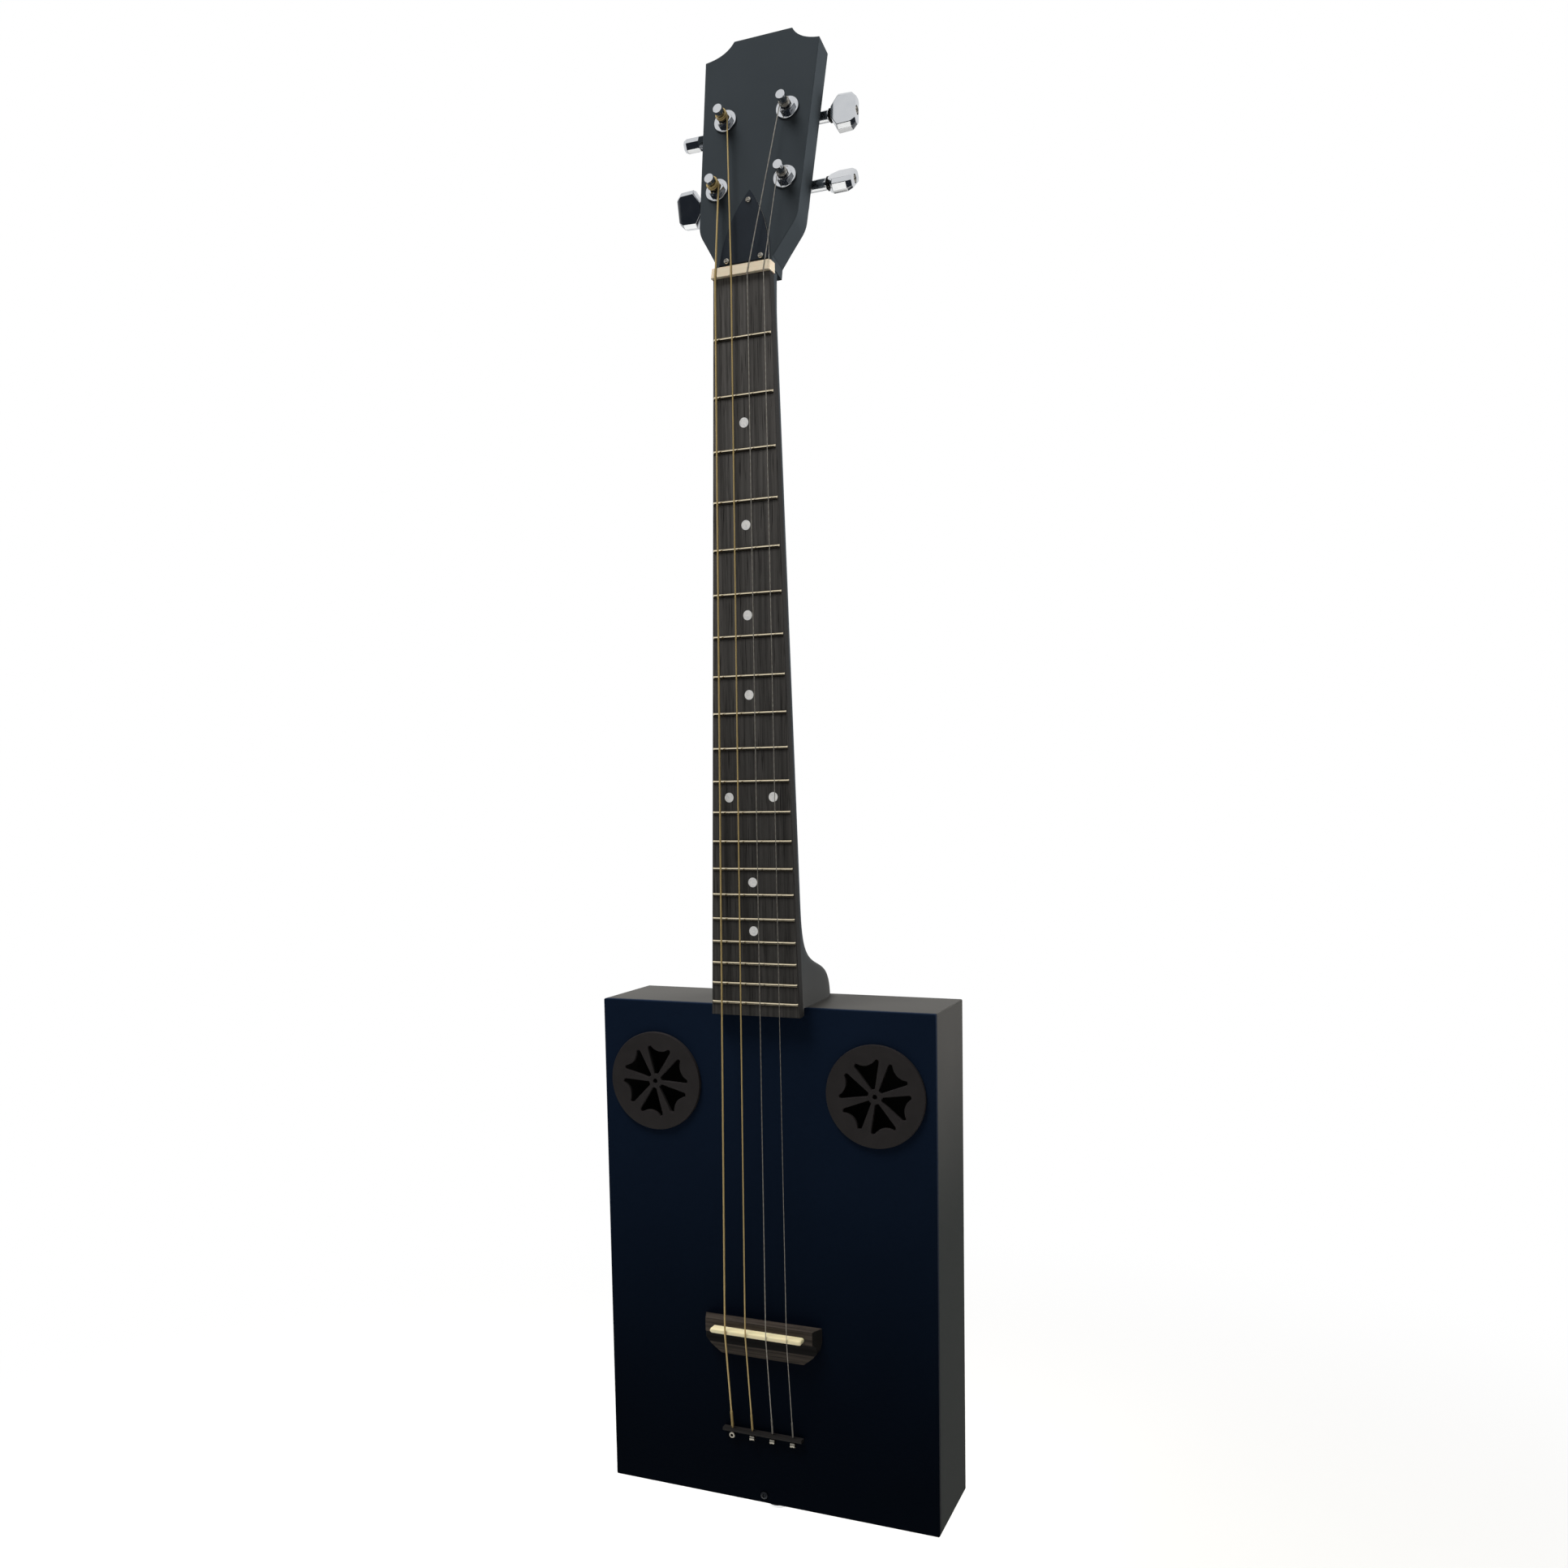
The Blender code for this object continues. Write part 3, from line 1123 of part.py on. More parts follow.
def string_route(number):
    """All points of one string, from its ball end to the last turn on its post."""
    diameter = STRING_DIAMETERS[number]
    tail_x = tail_string_x(number)
    saddle_x = string_place(number, SADDLE_STRING_SPACING, -SADDLE_STRING_DRIFT)
    nut_x = string_place(number, NUT_STRING_SPACING, 0.0)
    points = [Vector((tail_x, -TAIL_STRING_HEIGHT, BALL_Z + (BALL_RADIUS + BALL_BORE_RADIUS) / 2)),
              Vector((tail_x, -TAIL_STRING_HEIGHT, TAIL_BAR_Z + TAIL_BAR_THICKNESS / 2 + diameter)),
              Vector((saddle_x, -SADDLE_CREST - GAP - diameter / 2, SADDLE_Z)),
              Vector((nut_x, NUT_TOP, 0.0))]
    start = HEAD_FRAME.inverted() @ points[-1]
    return points + [HEAD_FRAME @ point for point in wrap(start, number)]


def least_gap(points, diameter):
    """Least clear distance between turns of one string, on its points."""
    least = math.inf
    for i, first in enumerate(points):
        for second in points[i + LOOP_POINTS // 2:]:
            least = min(least, (first - second).length - diameter)
    return least


def wire(route, diameter):
    """Six-sided wire of one thickness along a route."""
    curve = bpy.data.curves.new("wire", "CURVE")
    curve.dimensions = "3D"
    curve.bevel_depth = diameter / 2
    curve.bevel_resolution = 1
    curve.use_fill_caps = True
    spline = curve.splines.new("POLY")
    spline.points.add(len(route) - 1)
    for point, place_in_space in zip(spline.points, route):
        point.co = (*place_in_space, 1.0)
    guide = bpy.data.objects.new("wire", curve)
    mesh = bmesh.new()
    mesh.from_mesh(guide.to_mesh())
    guide.to_mesh_clear()
    bpy.data.objects.remove(guide)
    bpy.data.curves.remove(curve)
    bmesh.ops.remove_doubles(mesh, verts=mesh.verts, dist=1e-6)
    bmesh.ops.recalc_face_normals(mesh, faces=mesh.faces)
    return mesh


def make_strings(root, bronze, steel):
    for number, diameter in enumerate(STRING_DIAMETERS):
        route = string_route(number)
        name = f"string_{number + 1}"
        string = join(wire(route, diameter), ball_end(number))
        place(name, string, bronze if number < 2 else steel, root)
        print(f"{name}: least gap between its turns {least_gap(route, diameter) * 1000:.2f} mm")


def make_instrument():
    clear_scene()
    colours = {
        "lacquer": finish("dark_lacquer", (0.012, 0.018, 0.032), 0.35),
        "wood": finish("bare_wood", (0.45, 0.28, 0.15), 0.70),
        "rosewood": finish("dark_rosewood", (0.035, 0.026, 0.022), 0.55),
        "bone": finish("bone", (0.75, 0.68, 0.52), 0.40),
        "black": finish("black_plastic", (0.015, 0.015, 0.017), 0.45),
        "grille": finish("brown_charcoal", (0.028, 0.023, 0.020), 0.60),
        "chrome": finish("chrome", (0.80, 0.80, 0.82), 0.08, 1.0),
        "steel": finish("nickel_steel", (0.60, 0.58, 0.54), 0.25, 1.0),
        "bronze": finish("bronze_wire", (0.60, 0.42, 0.18), 0.30, 1.0),
    }
    root = frame_empty("hanger_seat", None, -HANGER_SEAT)
    head = frame_empty("headstock_frame", root, HEAD_FRAME.translation, -HEAD_TILT)
    make_body(root, colours["wood"], colours["lacquer"])
    make_neck(root, head, colours)
    make_tuners(head, colours)
    make_fittings(root, colours)
    make_strings(root, colours["bronze"], colours["steel"])


make_instrument()
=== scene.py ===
import math

import bmesh
import bpy
from mathutils import Matrix, Vector


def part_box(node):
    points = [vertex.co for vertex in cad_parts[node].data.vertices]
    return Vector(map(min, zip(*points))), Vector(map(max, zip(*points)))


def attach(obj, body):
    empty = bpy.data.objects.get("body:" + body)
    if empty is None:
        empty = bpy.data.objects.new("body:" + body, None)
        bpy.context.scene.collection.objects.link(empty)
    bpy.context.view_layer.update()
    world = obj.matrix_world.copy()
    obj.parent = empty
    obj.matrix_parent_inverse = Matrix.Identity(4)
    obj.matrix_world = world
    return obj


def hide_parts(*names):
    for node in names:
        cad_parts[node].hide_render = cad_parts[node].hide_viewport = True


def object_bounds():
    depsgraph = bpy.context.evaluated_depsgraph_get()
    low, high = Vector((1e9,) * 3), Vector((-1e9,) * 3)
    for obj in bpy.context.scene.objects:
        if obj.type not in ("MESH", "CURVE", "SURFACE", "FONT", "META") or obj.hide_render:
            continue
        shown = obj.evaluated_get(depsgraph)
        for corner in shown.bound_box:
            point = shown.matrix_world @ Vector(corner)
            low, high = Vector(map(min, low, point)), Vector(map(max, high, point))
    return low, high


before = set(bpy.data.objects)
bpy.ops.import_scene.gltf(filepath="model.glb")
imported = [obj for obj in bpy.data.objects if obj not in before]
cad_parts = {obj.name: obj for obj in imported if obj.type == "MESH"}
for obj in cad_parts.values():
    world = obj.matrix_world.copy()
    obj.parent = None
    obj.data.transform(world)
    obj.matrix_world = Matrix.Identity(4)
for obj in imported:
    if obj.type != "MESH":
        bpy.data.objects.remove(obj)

cad_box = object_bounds()
scene = bpy.context.scene
scene.view_settings.view_transform = "Standard"


# Studio. The instrument hangs free, so a plain pale floor lies a little way below it. The light is
# soft: an even room, a broad lamp high at the left in front, one overhead and a weak one at the right.

def linear(code):
    """An sRGB hex colour as linear RGBA."""
    parts = [int(code[i:i + 2], 16) / 255 for i in (1, 3, 5)]
    return (*[c / 12.92 if c <= 0.04045 else ((c + 0.055) / 1.055) ** 2.4 for c in parts], 1.0)


def feed(tree, node, sockets):
    """Set a node's inputs to values or link them to outputs; a node stands for its first output."""
    for key, value in sockets.items():
        if isinstance(value, bpy.types.Node):
            value = value.outputs[0]
        if isinstance(value, bpy.types.NodeSocket):
            tree.links.new(value, node.inputs[key])
        else:
            node.inputs[key].default_value = value


def add(tree, kind, sockets=None, **settings):
    """One node, shader kinds without their prefix: settings are its own, sockets go to its inputs."""
    node = tree.nodes.new(kind if "Node" in kind else "ShaderNode" + kind)
    for key, value in settings.items():
        setattr(node, key, value)
    feed(tree, node, sockets or {})
    return node


def new_finish(name):
    """A new material, its node tree, its shader and the spot on the object that is shaded."""
    material = bpy.data.materials.new(name)
    material.use_nodes = True
    tree = material.node_tree
    return material, tree, tree.nodes["Principled BSDF"], add(tree, "TexCoord").outputs["Object"]


def as_object(name, mesh):
    data = bpy.data.meshes.new(name)
    mesh.to_mesh(data)
    mesh.free()
    item = bpy.data.objects.new(name, data)
    scene.collection.objects.link(item)
    return item


# What mirrors see: a dark room low in front, a light one above and behind.
LIGHTER_TOWARDS = (0.0, 0.35, 1.0)
DARK_BELOW, LIGHT_ABOVE = -0.24, 0.20
world = bpy.data.worlds.new("room")
scene.world = world
world.use_nodes = True
room = world.node_tree
room.nodes.clear()
ray = add(room, "LightPath").outputs
way = add(room, "TexCoord").outputs["Generated"]
rise = add(room, "VectorMath", {0: way, 1: LIGHTER_TOWARDS}, operation="DOT_PRODUCT").outputs["Value"]
lightness = add(room, "MapRange", {"Value": rise, "From Min": DARK_BELOW, "From Max": LIGHT_ABOVE},
                interpolation_type="SMOOTHSTEP")
mirror_view = add(room, "MixRGB", {"Fac": lightness, "Color1": linear("#23272d"),
                                   "Color2": linear("#ecedee")})
plain_view = add(room, "MixRGB", {"Fac": ray["Is Camera Ray"], "Color1": mirror_view,
                                  "Color2": linear("#ffffff")})
direct = add(room, "Math", {0: ray["Is Camera Ray"], 1: ray["Is Glossy Ray"]}, operation="MAXIMUM")
direct = add(room, "Math", {0: direct, 1: ray["Is Transmission Ray"]}, operation="MAXIMUM")
even_light = add(room, "Background", {"Color": linear("#fbfaf7"), "Strength": 0.30})
backdrop = add(room, "Background", {"Color": plain_view, "Strength": 1.0})
mixed = add(room, "MixShader", {0: direct, 1: even_light, 2: backdrop})
add(room, "OutputWorld", {"Surface": mixed})

# Name, place, height it is aimed at, breadth, spread in degrees and power.
LAMPS = (("main_lamp", (-0.65, -0.95, 1.75), -0.35, 1.0, 180, 68.0),
         ("side_lamp", (1.1, 0.45, 0.15), 0.08, 0.9, 90, 10.0),
         ("top_lamp", (-0.60, 0.05, 1.60), -0.35, 0.7, 180, 52.0))
for lamp_name, spot, aim_height, breadth, spread, power in LAMPS:
    lamp = bpy.data.lights.new(lamp_name, "AREA")
    lamp.shape = "DISK"
    lamp.size = breadth
    lamp.spread = math.radians(spread)
    lamp.energy = power
    lamp_object = bpy.data.objects.new(lamp_name, lamp)
    lamp_object.location = spot
    lamp_object.visible_glossy = False
    aim = Vector((0, 0, aim_height)) - Vector(spot)
    lamp_object.rotation_euler = aim.to_track_quat("-Z", "Y").to_euler()
    scene.collection.objects.link(lamp_object)

FLOOR_RADIUS, FLOOR_DROP, FLOOR_BACK = 1.7, 0.30, 0.2
FADE_START, FADE_END = 0.25, 1.5
pale_floor, tree, shader, spot = new_finish("pale_floor")
flat_spot = add(tree, "VectorMath", {0: spot, 1: (1, 1, 0)}, operation="MULTIPLY")
from_middle = add(tree, "VectorMath", {0: flat_spot}, operation="LENGTH").outputs["Value"]
fade = add(tree, "MapRange", {"Value": from_middle, "From Min": FADE_START, "From Max": FADE_END},
           interpolation_type="SMOOTHSTEP")
ray = add(tree, "LightPath").outputs
seen = add(tree, "Math", {0: ray["Is Camera Ray"], 1: ray["Is Transmission Ray"]}, operation="MAXIMUM")
share = add(tree, "Math", {0: fade, 1: seen}, operation="MULTIPLY")
white = add(tree, "Emission", {"Color": linear("#ffffff"), "Strength": 1.0})
whitened = add(tree, "MixShader", {0: share, 1: shader, 2: white})
feed(tree, shader, {"Base Color": linear("#e6e5e2"), "Roughness": 0.85})
feed(tree, tree.nodes["Material Output"], {"Surface": whitened})
floor_mesh = bmesh.new()
bmesh.ops.create_circle(floor_mesh, cap_ends=True, segments=96, radius=FLOOR_RADIUS)
bmesh.ops.translate(floor_mesh, vec=(0, FLOOR_BACK, cad_box[0].z - FLOOR_DROP), verts=floor_mesh.verts)
floor = as_object("floor", floor_mesh)
floor.data.materials.append(pale_floor)

camera = bpy.data.objects.new("camera", bpy.data.cameras.new("camera"))
camera.data.sensor_width = 36.0
camera.data.lens = 30.348
camera.data.shift_x = -0.01471
camera.data.shift_y = 0.07156
camera.location = (0.33832, -0.76829, -0.33277)
camera.rotation_euler = [math.radians(a) for a in (85.5486, 0.9101, 21.7834)]
scene.collection.objects.link(camera)
scene.camera = camera


# Box. Front and back plates of thin ply are glued on four straight sides. The edges are eased with a
# sanding block, and the closed box is filled and sprayed with satin lacquer, so its seams don't show.

SEAM = 0.0003  # lap or gap between neighbours
CORNER, RIM = 0.0010, 0.0007  # rounding of the box's corners and of its rims
EDGE, FINE_EDGE = 0.0005, 0.0003  # rounding of most other edges
SOUND_HOLE = 0.0265
LACQUER_CLOUD, LACQUER_PEEL = 0.050, 0.0016
shift = Matrix.Translation


def spin(degrees, axis):
    return Matrix.Rotation(math.radians(degrees), 4, axis)


def satin_lacquer(name, upper, lower, low_z, high_z, gleam):
    """Sprayed satin lacquer on filled wood: nearly black, with faint clouds and a fine orange peel."""
    material, tree, shader, spot = new_finish(name)
    # Painted light: the colour runs from the lower to the upper one with height, painting in sheen and
    # reflection.
    height = add(tree, "SeparateXYZ", {"Vector": spot}).outputs["Z"]
    share = add(tree, "MapRange", {"Value": height, "From Min": low_z, "From Max": high_z},
                interpolation_type="SMOOTHSTEP")
    colour = add(tree, "MixRGB", {"Fac": share, "Color1": linear(lower), "Color2": linear(upper)})
    cloud = add(tree, "TexNoise", {"Vector": spot, "Scale": 1 / LACQUER_CLOUD, "Detail": 4.0})
    varied = add(tree, "MixRGB", {"Fac": 0.12, "Color1": colour, "Color2": cloud}, blend_type="SOFT_LIGHT")
    sheen = add(tree, "MapRange", {"Value": cloud, "To Min": 0.40, "To Max": 0.50})
    peel = add(tree, "TexNoise", {"Vector": spot, "Scale": 1 / LACQUER_PEEL, "Detail": 1.0})
    bump = add(tree, "Bump", {"Height": peel, "Strength": 0.05, "Distance": 0.0002})
    feed(tree, shader, {"Base Color": varied, "Roughness": sheen, "Normal": bump,
                        "Specular IOR Level": gleam})
    return material


def loft(rings):
    """Closed solid through rings of as many points each, ends capped."""
    mesh = bmesh.new()
    rows = [[mesh.verts.new(point) for point in ring] for ring in rings]
    for low, high in zip(rows, rows[1:]):
        for i in range(len(low)):
            j = (i + 1) % len(low)
            mesh.faces.new((low[i], low[j], high[j], high[i]))
    mesh.faces.new(rows[0])
    mesh.faces.new(rows[-1])
    bmesh.ops.recalc_face_normals(mesh, faces=mesh.faces)
    return mesh


def prism(outline, start, end):
    """An outline of (x, z) points carried from one depth y to another."""
    return loft([[(x, y, z) for x, z in outline] for y in (start, end)])


def block(low, high):
    outline = ((low[0], low[2]), (high[0], low[2]), (high[0], high[2]), (low[0], high[2]))
    return prism(outline, low[1], high[1])


def turned(profile, sides=40):
    """Solid of revolution about Y from (radius, distance) pairs in order."""
    angles = [2 * math.pi * i / sides for i in range(sides)]
    return loft([[(radius * math.cos(a), y, radius * math.sin(a)) for a in angles] for radius, y in profile])


def rod(radius, start, end, sides=40):
    return turned([(radius, start), (radius, end)], sides)


def moved(mesh, place):
    mesh.transform(place)
    return mesh


def arc(centre, radius, start, end, steps):
    """Points of a round corner in degrees, both ends included."""
    angles = [math.radians(start + (end - start) * i / steps) for i in range(steps + 1)]
    return [(centre[0] + radius * math.cos(a), centre[1] + radius * math.sin(a)) for a in angles]


def rounded_box(left, right, bottom, top, radius):
    left, right, bottom, top = left + radius, right - radius, bottom + radius, top - radius
    outline = []
    for i, corner in enumerate(((right, bottom), (right, top), (left, top), (left, bottom))):
        outline += arc(corner, radius, 90 * i - 90, 90 * i, 6)
    return outline


def eased(mesh, width, segments=3, test=None):
    """Round the sharp edges, or those of them whose two ends both pass a test."""
    mesh.normal_update()
    edges = []
    for edge in mesh.edges:
        sharp = len(edge.link_faces) == 2 and edge.calc_face_angle(0.0) > math.radians(24)
        if sharp and (test is None or all(test(vertex.co) for vertex in edge.verts)):
            edges.append(edge)
    bmesh.ops.bevel(mesh, geom=edges, offset=width, segments=segments, profile=0.5, affect="EDGES",
                    clamp_overlap=True)
    return mesh


def evaluated_mesh(item):
    """The object's mesh with its modifiers worked in."""
    graph = bpy.context.evaluated_depsgraph_get()
    return bpy.data.meshes.new_from_object(item.evaluated_get(graph))


def combine(first, second, operation):
    """Boolean of two closed solids."""
    pair = [as_object("first", first), as_object("second", second)]
    modifier = pair[0].modifiers.new("boolean", "BOOLEAN")
    modifier.operation = operation
    modifier.solver = "EXACT"
    modifier.object = pair[1]
    mesh = bmesh.new()
    mesh.from_mesh(evaluated_mesh(pair[0]))
    for item in pair:
        bpy.data.objects.remove(item, do_unlink=True)
    bmesh.ops.dissolve_degenerate(mesh, edges=mesh.edges, dist=1e-7)
    return mesh


def cut(mesh, *tools):
    """A solid with other solids taken out of it."""
    for tool in tools:
        mesh = combine(mesh, tool, "DIFFERENCE")
    return mesh


def make_piece(name, mesh, material, nodes=(), body="instrument", place=None):
    """Make a solid a piece of the instrument, shaded by its flat faces, riding on its body."""
    if place is not None:
        mesh.transform(place)
    bmesh.ops.remove_doubles(mesh, verts=mesh.verts, dist=2e-7)
    bmesh.ops.recalc_face_normals(mesh, faces=mesh.faces)
    piece = as_object(name, mesh)
    piece.data.shade_smooth()
    piece.data.set_sharp_from_angle(angle=math.radians(38))
    modifier = piece.modifiers.new("normals", "WEIGHTED_NORMAL")
    modifier.keep_sharp = True
    finished = evaluated_mesh(piece)
    piece.modifiers.clear()
    piece.data = finished
    piece.data.materials.clear()
    piece.data.materials.append(material)
    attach(piece, body)
    if nodes:
        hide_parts(*nodes)


def box_plate(node, front):
    """A large plate with its outer rim eased, reaching back over the seam to the sides."""
    low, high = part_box(node)
    outline = rounded_box(low.x, high.x, low.z, high.z, CORNER)
    outer = low.y if front else high.y
    inner = high.y + SEAM if front else low.y - SEAM
    return eased(prism(outline, outer, inner), RIM, 3, lambda p: abs(p.y - outer) < 1e-6)


front_low, front_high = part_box("soundboard")
# Painted light on one lacquer: the front's navy top is a painted reflection, the sides' lighter grey painted
# sheen.
front_lacquer = satin_lacquer("satin_lacquer_front", "#0d1624", "#02050b", front_low.z, front_high.z, 0.008)
side_lacquer = satin_lacquer("satin_lacquer_sides", "#403f3d", "#2a2c2b", front_low.z + 0.17, front_high.z,
                             0.004)

plate = box_plate("soundboard", True)
for grille_node in ("grille_left", "grille_right"):
    low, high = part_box(grille_node)
    middle = (low + high) / 2
    plate = cut(plate, moved(rod(SOUND_HOLE, -0.01, 0.01, 72), shift((middle.x, high.y, middle.z))))
make_piece("soundboard_lacquered", plate, front_lacquer, ["soundboard"])
make_piece("back_plate_lacquered", box_plate("back_plate", False), side_lacquer, ["back_plate"])

for node in ("side_left", "side_right"):
    low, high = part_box(node)
    hand = 1 if high.x > 0 else -1
    inside, outside = (low.x, high.x) if hand > 0 else (-high.x, -low.x)
    outline = [(inside, low.z)] + arc((outside - CORNER, low.z + CORNER), CORNER, -90, 0, 6)
    outline += arc((outside - CORNER, high.z - CORNER), CORNER, 0, 90, 6) + [(inside, high.z)]
    wall = prism([(hand * x, z) for x, z in outline], low.y, high.y)
    make_piece(node + "_lacquered", wall, side_lacquer, [node])

for node in ("side_top", "side_bottom"):
    low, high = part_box(node)
    wall = block((low.x - SEAM, low.y, low.z), (high.x + SEAM, high.y, high.z))
    make_piece(node + "_lacquered", wall, side_lacquer, [node])


# Inside of the box. Blocks, beam, braces and bridge plate are plain sawn spruce, glued in and left
# bare: pale, with straight grain lines a millimetre or two apart.

SPRUCE_GRAIN = (0.0016, 0.0016, 0.09)


def streaked(name, size, first, second, gloss, sockets=None, detail=4.0, swirl=0.0, relief=0.0):
    """A finish in which noise, stretched to a size along each axis, mixes two colours and sets the gloss."""
    material, tree, shader, spot = new_finish(name)
    stretched = add(tree, "Mapping", {"Vector": spot, "Scale": [1 / length for length in size]})
    streak = add(tree, "TexNoise", {"Vector": stretched, "Scale": 1.0, "Detail": detail, "Distortion": swirl})
    colour = add(tree, "MixRGB", {"Fac": streak, "Color1": linear(first), "Color2": linear(second)})
    sheen = add(tree, "MapRange", {"Value": streak, "To Min": gloss[0], "To Max": gloss[1]})
    feed(tree, shader, {"Base Color": colour, "Roughness": sheen, **(sockets or {})})
    if relief:
        bump = add(tree, "Bump", {"Height": streak, "Strength": 0.2, "Distance": relief})
        feed(tree, shader, {"Normal": bump})
    return material


def dress(node, material):
    """Give a CAD node that stays as it is its finish."""
    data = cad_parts[node].data
    data.materials.clear()
    data.materials.append(material)


spruce = streaked("bare_spruce", SPRUCE_GRAIN, "#8d6a45", "#cfae7d", (0.75, 0.75), relief=0.0003)
for node in ("neck_block", "tail_block", "centre_beam", "bridge_plate", "back_brace_upper",
             "back_brace_lower"):
    dress(node, spruce)


# Neck. One piece of maple carved to a round back that runs into a deep heel, with a headstock that
# tilts back 13 degrees. Its edges are sanded round and it is sprayed like the box.

SCALE, FRETS = 0.648, 20
NUT = shift((0, -0.006192, -0.020334))
HEAD = NUT @ shift((0, -0.0062, 0)) @ spin(-13.0, "X")
HEAD_FROM_NUT = NUT.inverted() @ HEAD
NECK_FACE = -0.0032
BOX_TOP = front_high.z - NUT.translation.z
BOARD_NARROW, BOARD_WIDE = 0.0376, 0.0604
NECK_DEPTH, HEEL_START, HEEL_DEPTH = 0.0138, 0.0163, 0.0645
HEAD_THICKNESS = 0.015
TENON_HALF, TENON_FRONT, TENON_BACK, TENON_DROP = 0.012, 0.010, 0.0513, 0.030
JOINT_LAP = 0.0045  # how far tongue and tenon run up inside the heel
ROD_HALF, ROD_DEEP, ROD_FOOT, ROD_HEAD = 0.0028, 0.0064, 0.0297, 0.0125
POST_HOLE = 0.0052
# Posts in the order of their strings, across and up the headstock.
POSTS = ((-0.0227, 0.0613), (-0.0209, 0.1077), (0.0209, 0.1077), (0.0227, 0.0613))


def fret_height(number):
    return -SCALE * (1 - 2 ** (-number / 12))


BOARD_END = fret_height(FRETS) - 0.008


def board_half(z):
    """Half the fretboard's width at a height below the nut."""
    return (BOARD_NARROW + (BOARD_WIDE - BOARD_NARROW) * z / BOARD_END) / 2


def neck_slice(z, depth, roundness, taper=0.0):
    """One slice of the neck: flat under the board, rounded behind."""
    half = board_half(z) - SEAM
    points = []
    for i in range(49):
        angle = math.pi * i / 48
        back = max(0.0, math.sin(angle)) ** (2 / roundness)
        across = math.copysign(abs(math.cos(angle)) ** (2 / roundness), math.cos(angle))
        points.append((half * across * (1 - taper * back), NECK_FACE + depth * back, z))
    return points


def curve(start, control, end, steps):
    """Points of a curve bent towards one control point, without its first."""
    shares = [i / steps for i in range(1, steps + 1)]
    return [tuple((1 - t) ** 2 * Vector(start) + 2 * t * (1 - t) * Vector(control) + t * t * Vector(end))
            for t in shares]


def mirrored(half):
    """A half outline with its mirror image; a last point on the middle line isn't doubled."""
    return half + [(-x, z) for x, z in reversed(half[:-1] if half[-1][0] == 0 else half)]


slices = [neck_slice(z, depth, roundness) for z, depth, roundness in (
    (0.008, 0.0126, 8.0), (0.004, 0.0132, 4.6), (0.0, NECK_DEPTH, 3.2),
    (-0.010, NECK_DEPTH, 2.7), (-0.020, NECK_DEPTH, 2.4), (-0.030, NECK_DEPTH, 2.3))]
heel_line = [Vector((BOX_TOP + above, depth)) for above, depth in (
    (0.067, HEEL_START), (0.00871, HEEL_START), (0.03658, HEEL_DEPTH), (0.0, HEEL_DEPTH))]
for i in range(37):
    t = i / 36
    s = 1 - t
    weights = (s ** 3, 3 * s * s * t, 3 * s * t * t, t ** 3)
    z, depth = sum((weight * point for weight, point in zip(weights, heel_line)), Vector((0, 0)))
    share = (depth - HEEL_START) / (HEEL_DEPTH - HEEL_START)
    slices.append(neck_slice(z, depth, 2.3 + 5.7 * share ** 1.3, 0.064 * share))

shoulder, ear, waist = Vector((0.0328, 0.0342)), Vector((0.0386, 0.1522)), Vector((0.0188, 0.011))
before = shoulder + (waist - shoulder).normalized() * 0.005
after = shoulder + (ear - shoulder).normalized() * 0.005
half_head = [(waist.x, 0.004), tuple(waist), tuple(before)] + curve(before, shoulder, after, 8) + [tuple(ear)]
half_head += curve(ear, (0.024425, 0.15373), (0.0197, 0.1629), 14)
headstock = eased(prism(mirrored(half_head), 0.0, HEAD_THICKNESS), EDGE, 3, lambda p: p.z > 0.0105)
rod_pocket = block((-0.0041, -0.01, 0.0085), (0.0041, 0.011, 0.030))
post_holes = [moved(rod(POST_HOLE, -0.025, 0.025, 32), shift((x, 0, z))) for x, z in POSTS]
headstock = cut(headstock, rod_pocket, *post_holes)
carved = combine(loft(slices), moved(headstock, HEAD_FROM_NUT), "UNION")
tongue_half = board_half(BOX_TOP) - 2 * SEAM
tongue = block((-tongue_half, NECK_FACE, BOARD_END), (tongue_half, -SEAM / 2, BOX_TOP + JOINT_LAP))
tenon = block((-TENON_HALF, TENON_FRONT, BOX_TOP - TENON_DROP), (TENON_HALF, TENON_BACK, BOX_TOP + JOINT_LAP))
for addition in (tongue, tenon):
    carved = combine(carved, addition, "UNION")
above_face = block((-0.06, -0.06, -0.06), (0.06, NECK_FACE, 0.0063))
rod_channel = block((-ROD_HALF, -0.06, BOX_TOP + ROD_FOOT), (ROD_HALF, ROD_DEEP, ROD_HEAD))
carved = cut(carved, above_face, rod_channel)
# Painted light: the neck's lacquer is lighter towards the heel, darker and cooler up the neck and headstock.
neck_lacquer = satin_lacquer("satin_lacquer_neck", "#2b2f32", "#393938", front_high.z, front_high.z + 0.07,
                             0.004)
make_piece("neck_lacquered", carved, neck_lacquer, ["neck"], place=NUT)


# Truss rod and its cover. A steel rod lies in a channel under the fretboard, and a pointed plate of
# laminated plastic, black on white, closes the pocket of its nut. Three cross-head screws hold the plate.

COVER_TOP, COVER_MIDDLE = -0.0017, -0.0009
COVER_SCREWS = ((0.0, 0.0497), (-0.0113, 0.0110), (0.0113, 0.0110))
SMALL_SCREW = (0.0018, 0.0011, 0.0009, 0.0065)  # head radius, its rise, shank radius and length
WEAR, MOULD_CLOUD = 0.004, 0.012
# Painted shade on flanks that face down: full below the first facing, gone above the second.
SHADED_FACING, LIT_FACING = -0.30, 0.12  # how far a flank faces up


